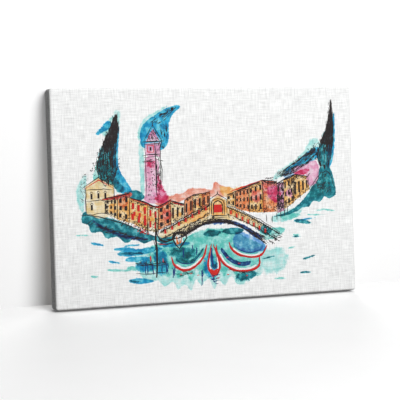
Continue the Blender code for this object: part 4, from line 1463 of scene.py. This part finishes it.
def lay_washes(mesh, vertices, inner):
    """For each pigment, how far inside its washes each point of the cloth's front is."""
    art = harbour_view()
    places = (vertices[:, (0, 2)] - np.array([canvas_low.x, canvas_low.z])) / MM
    on_front = (vertices[:, 1] < canvas_low.y + 0.001) & ~inner
    for pigment in PIGMENTS:
        values = np.full(len(vertices), -Drawing.FAR)
        values[on_front] = art.distances(pigment, places[on_front])
        layer = mesh.attributes.new(pigment, "FLOAT", "POINT")
        layer.data.foreach_set("value", values)


def loose_threads(look):
    """Ends of yarn along the cut edge of the turned-over cloth."""
    draw = random.Random(SEED + 1)
    bm = bmesh.new()
    inset = bpy.context.scene.picture_cloth.flange
    y = canvas_high.y - 0.0002
    left, right = canvas_low.x + inset, canvas_high.x - inset
    bottom, top = canvas_low.z + inset, canvas_high.z - inset
    edges = (
        ((left, y, bottom), (1, 0, 0), (0, 0, 1), PICTURE_WIDTH),
        ((left, y, top), (1, 0, 0), (0, 0, -1), PICTURE_WIDTH),
        ((left, y, bottom), (0, 0, 1), (1, 0, 0), PICTURE_HEIGHT),
        ((right, y, bottom), (0, 0, 1), (-1, 0, 0), PICTURE_HEIGHT),
    )
    for *ways, side in edges:
        start, along, inward = (Vector(way) for way in ways)
        run = side - 2 * inset
        place = YARN_MARGIN
        while place < run - YARN_MARGIN:
            root = start + along * place - inward * YARN_ROOT
            reach = draw.uniform(0.0012, 0.0045)
            lean = draw.uniform(-0.0018, 0.0018)
            up = Vector((0, -draw.uniform(0.0, 0.0003), 0))
            bend = root + inward * reach * 0.5 + along * lean * 0.3 + up
            path = [root, bend, root + inward * reach + along * lean + up]
            tube(bm, path, YARN_RADIUS, sides=5)
            place += draw.uniform(0.002, 0.011)
    return from_bmesh("loose_threads", bm, look, 80.0)


# ---------------------------------------------------------------------------
# Pen and brush lines
# ---------------------------------------------------------------------------

LINE_SINK = 0.00002  # how far a line's foot is inside the cloth
STRIP_MARGIN = 1.2  # millimetres between the lines where they are laid out for baking


def lay_strips(sizes, margin):
    """Places for many long thin strips side by side in a square, and the square's side."""
    side = math.sqrt(sum((a + margin) * (b + margin) for a, b in sizes)) * 1.15
    side = max(side, max(a for a, b in sizes) + 2 * margin)
    places = [None] * len(sizes)
    x, y, shelf = margin, margin, 0.0
    for number in sorted(range(len(sizes)), key=lambda k: -sizes[k][1]):
        a, b = sizes[number]
        if x + a + margin > side:
            x, y, shelf = margin, y + shelf + margin, 0.0
        places[number] = (x, y)
        x += a + margin
        shelf = max(shelf, b)
    return places, max(side, y + shelf + margin)


def make_lines(name, strokes, height, look):
    """Each stroke as a low ridge of dried paint on the cloth."""
    sizes = []
    for points, widths in strokes:
        steps = np.hypot(*np.diff(points, axis=0).T)
        sizes.append((steps.sum(), widths.max()))
    places, side = lay_strips(sizes, STRIP_MARGIN)
    vertices, faces, flat = [], [], []
    foot = canvas_low.y + LINE_SINK
    for (points, widths), (left, bottom) in zip(strokes, places):
        way = np.gradient(points, axis=0)
        way /= np.maximum(np.hypot(way[:, 0], way[:, 1]), 1e-6)[:, None]
        across = np.stack([-way[:, 1], way[:, 0]], axis=1)
        run = np.concatenate([[0], np.cumsum(np.hypot(*np.diff(points, axis=0).T))])
        first = len(vertices)
        for k, (point, width) in enumerate(zip(points, widths)):
            for turn, lift in ((-0.5, 0.0), (0.0, height), (0.5, 0.0)):
                x, z = point + across[k] * width * turn
                vertices.append((canvas_low.x + x * MM, foot - lift * MM, canvas_low.z + z * MM))
                flat.append(((left + run[k]) / side, (bottom + width * (turn + 0.5)) / side))
        for k in range(len(points) - 1):
            a = first + 3 * k
            faces.append((a, a + 3, a + 4, a + 1))
            faces.append((a + 1, a + 4, a + 5, a + 2))
    piece = new_piece(name, vertices, faces, [look])
    add_layer(piece.data, "OFBake", flat)
    return piece


# ---------------------------------------------------------------------------
# Hangers and bumpers
# ---------------------------------------------------------------------------

RING_WIRE = 0.001
RING_BEND = 0.0016
RING_SEAM = 0.0001  # half the gap between the wire's ends
STRAP_METAL = 0.0008
LOOP_CLEARANCE = 0.00025
LOOP_TURN = math.radians(232)
LAYER_GAP = 0.00006  # between the strap's two layers
STRAP_LANES = 12
STRAP_STEP = 0.0006  # the strap's faces are about this long
STRAP_TIP = 0.12  # least width of its rounded end, as a share
ARC_STEPS = 24
HEAD_TALL = 0.0022
HEAD_EDGE = 0.0003
HEAD_RIM = 0.0004  # where its dome starts
SCREW_TIP = 0.002  # before the first thread
SCREW_NECK = 0.0012  # between the last thread and the head
THREADS = 9
THREAD_RADIUS = 0.00165
THREAD_ROOT = 0.74  # share of the thread's radius
SHANK_RADIUS = 0.00145
RECESS_ARM = (0.0040, 0.0022, 0.0008)  # length, depth and width
RECESS_TURN = 0.35


def ring_centre(name):
    """The middle of the ring's straight side, which is the middle of the strap's loop."""
    low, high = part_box("hanger_ring_" + name)
    loop_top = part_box("hanger_strap_" + name)[1].z
    loop = RING_WIRE + LOOP_CLEARANCE + STRAP_METAL
    return Vector(((low.x + high.x) / 2, (low.y + high.y) / 2, loop_top - loop))


def make_ring(name, look):
    """A D ring bent from round wire, its two ends meeting in the straight side."""
    low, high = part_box("hanger_ring_" + name)
    centre = ring_centre(name)
    half = (high.x - low.x) / 2 - RING_WIRE
    drop = centre.z - low.z - RING_WIRE
    side = drop - half
    right_bend, left_bend = (
        round_path([centre + Vector((x, 0, z)) for x, z in points], RING_BEND)
        for points in (((0, 0), (half, 0), (half, -side)), ((-half, -side), (-half, 0), (-RING_SEAM, 0)))
    )
    arc = [math.pi * k / ARC_STEPS for k in range(1, ARC_STEPS + 1)]
    bow = [centre + Vector((half * math.cos(a), 0, -side - half * math.sin(a))) for a in arc]
    path = right_bend + bow + left_bend[1:]
    bm = bmesh.new()
    tube(bm, path, RING_WIRE, sides=18)
    return from_bmesh("ring_" + name, bm, look, 60.0)


def make_strap(name, look):
    """A strip folded round the ring and back on itself, with a rounded end."""
    low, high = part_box("hanger_strap_" + name)
    centre = ring_centre(name)
    bore = RING_WIRE + LOOP_CLEARANCE
    loop = bore + STRAP_METAL
    half = (high.x - low.x) / 2
    drop = centre.z - low.z
    back = low.y + STRAP_METAL / 2
    front = back + STRAP_METAL + LAYER_GAP
    # the middle of the metal, from the rounded end up the back and round the wire
    route = [(back, -drop), (back, -loop)]
    turn = (loop + bore) / 2
    for k in range(ARC_STEPS + 1):
        a = math.pi + LOOP_TURN * k / ARC_STEPS
        route.append((centre.y + turn * math.cos(a), turn * -math.sin(a)))
    # and from the loop's end into the front layer
    route += [(front + 0.0001, -loop * 0.95), (front, -loop - 0.0006), (front, -drop)]
    bm = bmesh.new()
    rows = []
    fine = []
    for (ya, za), (yb, zb) in zip(route, route[1:]):
        count = max(1, round(math.hypot(yb - ya, zb - za) / STRAP_STEP))
        fine += [(ya + (yb - ya) * t / count, za + (zb - za) * t / count) for t in range(count)]
    fine.append(route[-1])
    for y, z in fine:
        row = []
        below = drop - half + z
        reach = half
        if below < 0:
            reach = math.sqrt(max(half * half - below * below, (half * STRAP_TIP) ** 2))
        for k in range(STRAP_LANES + 1):
            x = centre.x + reach * math.sin(math.pi / 2 * (2 * k / STRAP_LANES - 1))
            row.append(bm.verts.new((x, y, centre.z + z)))
        rows.append(row)
    for here, there in zip(rows, rows[1:]):
        for k in range(STRAP_LANES):
            bm.faces.new((here[k], here[k + 1], there[k + 1], there[k]))
    strap = from_bmesh("strap_" + name, bm, look, 50.0)
    shell = strap.modifiers.new("metal", "SOLIDIFY")
    shell.thickness = STRAP_METAL
    shell.offset = 0.0
    soften(strap, 0.00012)
    return strap


def make_screw(name, look):
    """A pan head with a cross recess, standing on the strap, and its threaded shank below."""
    low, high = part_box("hanger_screw_" + name)
    centre = Vector(((low.x + high.x) / 2, 0, (low.z + high.z) / 2))
    head = (high.x - low.x) / 2
    top = high.y
    under = top - HEAD_TALL
    profile = [(0.0, low.y)]
    start, end = low.y + SCREW_TIP, under - SCREW_NECK
    pitch = (end - start) / THREADS
    for k in range(THREADS):
        y = start + (end - start) * k / THREADS
        crest = THREAD_RADIUS * min(1.0, 0.45 + 0.18 * k)
        root = crest * THREAD_ROOT
        profile += [(root, y), (crest, y + pitch * 0.45), (root, y + pitch * 0.9)]
    profile += [(SHANK_RADIUS, end), (SHANK_RADIUS, under), (head * 0.97, under), (head, under + HEAD_EDGE)]
    dome = under + HEAD_RIM
    for k in range(1, 9):
        a = math.pi / 2 * k / 8
        profile.append((head * (0.42 + 0.58 * math.cos(a)), dome + (top - under - HEAD_RIM) * math.sin(a)))
    profile.append((0.0, top))
    bm = bmesh.new()
    turned(bm, profile, centre)
    body = from_bmesh("screw_" + name, bm, look, 35.0)
    cutter_mesh = bmesh.new()
    for turn in (RECESS_TURN, RECESS_TURN + math.pi / 2):
        made = bmesh.ops.create_cube(cutter_mesh, size=1.0)["verts"]
        place = Matrix.Translation((centre.x, top, centre.z)) @ Matrix.Rotation(turn, 4, "Y")
        place @= Matrix.Diagonal((*RECESS_ARM, 1))
        bmesh.ops.transform(cutter_mesh, verts=made, matrix=place)
    cutter = from_bmesh("recess_cutter", cutter_mesh, look)
    cut = body.modifiers.new("recess", "BOOLEAN")
    cut.object = cutter
    cut.operation = "DIFFERENCE"
    cut.use_self = True
    bpy.context.view_layer.update()
    depsgraph = bpy.context.evaluated_depsgraph_get()
    finished = bpy.data.meshes.new_from_object(body.evaluated_get(depsgraph))
    body.modifiers.clear()
    body.data = finished
    bpy.data.objects.remove(cutter)
    return body


def make_bumper(name, look):
    """A domed rubber foot with a slightly spread base."""
    low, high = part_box(name)
    centre = (low + high) / 2
    radius = (high.x - low.x) / 2
    tall = high.y - low.y
    shares = [(0.0, 0.0), (0.96, 0.0), (1.0, 0.06), (0.985, 0.22), (0.90, 0.62)]
    dome = [math.pi / 2 * k / 10 for k in range(1, 11)]
    shares += [(0.52 + 0.38 * math.cos(a), 0.62 + 0.38 * math.sin(a)) for a in dome]
    shares += [(0.40, 0.985), (0.18, 0.95), (0.0, 0.945)]
    profile = [(radius * out, low.y + tall * up) for out, up in shares]
    bm = bmesh.new()
    turned(bm, profile, centre, 48)
    return from_bmesh(name.replace("wall_", "") + "_foot", bm, look, 50.0)


# ---------------------------------------------------------------------------
# Operators
# ---------------------------------------------------------------------------


class PICTURE_OT_cloth(bpy.types.Operator):
    """Stretch the painted cloth over the frame and turn it onto the back"""

    bl_idname = "picture.cloth"
    bl_label = "Cloth"

    def execute(self, context):
        sizes = context.scene.picture_cloth
        cloth, flat_size = make_cloth(sizes, context.scene.picture_paint)
        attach(cloth, ROOT_BODY)
        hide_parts("canvas")
        threads = loose_threads(cloth.data.materials[1])
        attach(threads, ROOT_BODY)
        return {"FINISHED"}


class PICTURE_OT_lines(bpy.types.Operator):
    """Draw the pen and brush lines on the cloth"""

    bl_idname = "picture.lines"
    bl_label = "Pen and Brush Lines"

    def execute(self, context):
        paint = context.scene.picture_paint
        art = harbour_view()
        for pen, height in PENS.items():
            roughness = 0.62 if pen == "ink" else 0.75
            look = paint_line(pen + " on cloth", tuple(getattr(paint, pen)), roughness, 0.04)
            piece = make_lines(pen + "_lines", art.strokes[pen], height, look)
            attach(piece, ROOT_BODY)
        return {"FINISHED"}


class PICTURE_OT_bars(bpy.types.Operator):
    """Give the four stretcher bars their planed pine"""

    bl_idname = "picture.bars"
    bl_label = "Stretcher Bars"

    def execute(self, context):
        for name in named("stretcher_bar_"):
            along = long_axis(name)
            title = "pine along " + along
            look = one_of_each(title, timber, (0.66, 0.46, 0.26), (0.42, 0.235, 0.095), 0.0052, along, 0.58)
            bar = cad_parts[name]
            dress(bar, look)
            soften(bar, 0.0006)
        return {"FINISHED"}


class PICTURE_OT_keys(bpy.types.Operator):
    """Give the eight corner keys their beech"""

    bl_idname = "picture.keys"
    bl_label = "Corner Keys"

    def execute(self, context):
        for name in named("key_"):
            along = long_axis(name)
            title = "beech along " + along
            look = one_of_each(title, timber, (0.60, 0.36, 0.19), (0.40, 0.20, 0.09), 0.0022, along, 0.5)
            dress(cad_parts[name], look)
            soften(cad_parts[name], 0.0003)
        return {"FINISHED"}


class PICTURE_OT_staples(bpy.types.Operator):
    """Give the staples their zinc"""

    bl_idname = "picture.staples"
    bl_label = "Staples"

    def execute(self, context):
        look = one_of_each("staple zinc", plated_metal, (0.66, 0.67, 0.68), (0.42, 0.42, 0.41), 0.34, 0.0016)
        for name in named("staple_"):
            dress(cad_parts[name], look)
            soften(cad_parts[name], 0.00014)
        return {"FINISHED"}


class PICTURE_OT_hangers(bpy.types.Operator):
    """Make the two hangers: a folded strap, its ring and its screw"""

    bl_idname = "picture.hangers"
    bl_label = "Hangers"

    def execute(self, context):
        metals = (
            ("hanger nickel", plated_metal, (0.74, 0.71, 0.65), (0.50, 0.47, 0.42), 0.20, 0.0022),
            ("screw zinc", plated_metal, (0.70, 0.69, 0.62), (0.46, 0.43, 0.33), 0.28, 0.0014),
        )
        nickel, zinc = (one_of_each(*values) for values in metals)
        for side in ("left", "right"):
            ring = make_ring(side, nickel)
            strap = make_strap(side, nickel)
            screw = make_screw(side, zinc)
            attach(ring, "hanger_ring_" + side)
            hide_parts("hanger_ring_" + side)
            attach(strap, ROOT_BODY)
            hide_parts("hanger_strap_" + side)
            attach(screw, ROOT_BODY)
            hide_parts("hanger_screw_" + side)
        return {"FINISHED"}


class PICTURE_OT_bumpers(bpy.types.Operator):
    """Make the two rubber feet that touch the wall"""

    bl_idname = "picture.bumpers"
    bl_label = "Wall Bumpers"

    def execute(self, context):
        look = one_of_each("grey rubber", rubber, (0.46, 0.46, 0.44))
        for name in named("wall_bumper_"):
            foot = make_bumper(name, look)
            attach(foot, ROOT_BODY)
            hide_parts(name)
        return {"FINISHED"}


# ---------------------------------------------------------------------------
# Stage
# ---------------------------------------------------------------------------

FOCAL_LENGTH = 103.5
SENSOR = 36.0
CAMERA_SHIFT = (0.05, -0.05)
CAMERA_TURN = (math.radians(0.63), math.radians(18.86), math.radians(1.80))
CAMERA_PLACE = (-749.0, 51.0, 2024.0)
FLOOR_GAP = 0.0006  # under the picture
WALL_GAP = 0.0004  # behind it
WALL_HEIGHT = 1.6
PALE = (0.97, 0.97, 0.97, 1.0)
GLOW = {"Emission Color": (1.0, 1.0, 1.0, 1.0), "Emission Strength": 0.02}
SKY = 0.10  # as a light
SKY_SEEN = 1.05  # as the camera sees it

# Each light's name, the setting that holds its power, its place, what it points at and its size.
# None is the picture's middle.
LIGHTS = (
    ("key light", "key", (0.62, -2.9, 2.0), None, 2.4),
    ("front fill", "fill", (0.6, -3.1, 0.5), None, 1.8),
    ("overhead", "overhead", (0.35, -1.6, 2.6), (0.1, -0.5, 0), 1.2),
    ("left rim", "rim", (-0.9, -0.3, 1.15), (-0.3, 0, 0.38), 0.4),
    ("back light", "back", (0.9, 2.6, 1.5), None, 1.6),
)


def flat_board(name, corners, look):
    board = new_piece(name, corners, [(0, 1, 2, 3)], [look], smooth_faces=False)
    board.visible_diffuse = False
    return board


def stage_floor():
    """Pale matt floor with a faint unevenness."""
    look, graph, shader = start_material("pale floor", 0.9)
    place = graph.place()
    tint = graph.shade(PALE, graph.smooth(graph.noise(place, 9.0), 0.3, 0.7, 0.99, 1.0))
    graph.feed(shader, {"Base Color": tint, **GLOW})
    return look


def stage_wall():
    """Pale matt wall that can be seen through from behind and lets light from behind pass."""
    look, graph, shader = start_material("pale wall", 0.9)
    graph.feed(shader, {"Base Color": PALE, **GLOW})
    clear = graph.add("ShaderNodeBsdfTransparent").outputs[0]
    behind = graph.add("ShaderNodeNewGeometry").outputs["Backfacing"]
    mixed = graph.add("ShaderNodeMixShader", {0: behind, 1: shader.outputs[0], 2: clear}).outputs[0]
    graph.feed(graph.tree.nodes["Material Output"], {"Surface": mixed})
    return look


def stage_light(name, place, target, size, power):
    lamp = bpy.data.lights.new(name, "AREA")
    lamp.shape = "DISK"
    lamp.size = size
    lamp.energy = power
    holder = put_in_scene(name, lamp)
    holder.location = place
    holder.rotation_euler = (Vector(target) - Vector(place)).to_track_quat("-Z", "Y").to_euler()


def stage_sky(brightness):
    """White where the camera looks past everything, and dimmer as a light."""
    world = bpy.context.scene.world or bpy.data.worlds.new("sky")
    bpy.context.scene.world = world
    world.use_nodes = True
    graph = Graph(world.node_tree)
    for node in list(world.node_tree.nodes):
        world.node_tree.nodes.remove(node)
    seen = graph.add("ShaderNodeLightPath").outputs["Is Camera Ray"]
    strength = graph.scaled(seen, SKY_SEEN - brightness, brightness)
    sky = graph.add("ShaderNodeBackground", {"Color": (1, 1, 1, 1), "Strength": strength}).outputs[0]
    graph.add("ShaderNodeOutputWorld", {"Surface": sky})


def stage_camera():
    """The camera, set where the picture's front is seen from slightly left of centre."""
    turn_x, turn_y, turn_z = CAMERA_TURN
    look = Matrix.Rotation(turn_z, 3, "Z") @ Matrix.Rotation(turn_x, 3, "X") @ Matrix.Rotation(turn_y, 3, "Y")
    upright = Matrix(((1, 0, 0), (0, 0, -1), (0, 1, 0)))
    lens = bpy.data.cameras.new("camera")
    lens.lens = FOCAL_LENGTH
    lens.sensor_width = SENSOR
    lens.shift_x, lens.shift_y = CAMERA_SHIFT
    lens.clip_end = 50
    camera = put_in_scene("camera", lens)
    middle = Vector((0, canvas_low.y, canvas_low.z + PICTURE_HEIGHT / 2))
    place = middle + upright @ Vector(CAMERA_PLACE) * MM
    camera.matrix_world = Matrix.Translation(place) @ (upright @ look.transposed()).to_4x4()
    bpy.context.scene.camera = camera


class PICTURE_OT_stage(bpy.types.Operator):
    """Set the picture on a pale floor against a pale wall, and light it"""

    bl_idname = "picture.stage"
    bl_label = "Stage"

    def execute(self, context):
        stage = context.scene.picture_stage
        slope = math.tan(stage.lean)
        back = canvas_high.y
        wide = stage.wall_width / 2
        floor_at = canvas_low.z - FLOOR_GAP
        front_y, end_y = back - stage.floor_front, back + PICTURE_HEIGHT * slope
        outline = ((-wide, front_y), (wide, front_y), (wide, end_y), (-wide, end_y))
        flat_board("floor", [(x, y, floor_at + (y - back) * slope) for x, y in outline], stage_floor())
        touch = back + WALL_GAP
        top = canvas_high.z
        foot_y, head_y = touch + top * slope, touch + (top - WALL_HEIGHT) * slope
        wall = flat_board("wall", [
            (-wide, foot_y, floor_at), (wide, foot_y, floor_at),
            (wide, head_y, WALL_HEIGHT), (-wide, head_y, WALL_HEIGHT),
        ], stage_wall())
        wall.visible_shadow = False
        middle = (0, 0, PICTURE_HEIGHT / 2)
        for name, setting, place, target, size in LIGHTS:
            stage_light(name, place, target or middle, size, getattr(stage, setting))
        stage_sky(SKY)
        stage_camera()
        context.scene.view_settings.view_transform = "Standard"
        return {"FINISHED"}


class PICTURE_PT_panel(bpy.types.Panel):
    """Everything that makes up the picture"""

    bl_idname = "PICTURE_PT_panel"
    bl_label = "Canvas Picture"
    bl_space_type = "VIEW_3D"
    bl_region_type = "UI"
    bl_category = "Picture"

    def draw(self, context):
        for operator in OPERATORS:
            self.layout.operator(operator.bl_idname)
        for group in (context.scene.picture_cloth, context.scene.picture_paint, context.scene.picture_stage):
            box = self.layout.box()
            for name in group.bl_rna.properties.keys():
                if name not in ("rna_type", "name"):
                    box.prop(group, name)


OPERATORS = (
    PICTURE_OT_lines, PICTURE_OT_cloth, PICTURE_OT_bars, PICTURE_OT_keys, PICTURE_OT_staples,
    PICTURE_OT_hangers, PICTURE_OT_bumpers, PICTURE_OT_stage,
)
CLASSES = (ClothProperties, PaintProperties, StageProperties, *OPERATORS, PICTURE_PT_panel)


def register():
    for each in CLASSES:
        bpy.utils.register_class(each)
    bpy.types.Scene.picture_cloth = PointerProperty(type=ClothProperties)
    bpy.types.Scene.picture_paint = PointerProperty(type=PaintProperties)
    bpy.types.Scene.picture_stage = PointerProperty(type=StageProperties)


def unregister():
    del bpy.types.Scene.picture_cloth
    del bpy.types.Scene.picture_paint
    del bpy.types.Scene.picture_stage
    for each in reversed(CLASSES):
        bpy.utils.unregister_class(each)


def main():
    register()
    bpy.ops.picture.lines()
    bpy.ops.picture.cloth()
    bpy.ops.picture.bars()
    bpy.ops.picture.keys()
    bpy.ops.picture.staples()
    bpy.ops.picture.hangers()
    bpy.ops.picture.bumpers()
    bpy.ops.picture.stage()


if __name__ == "__main__":
    main()
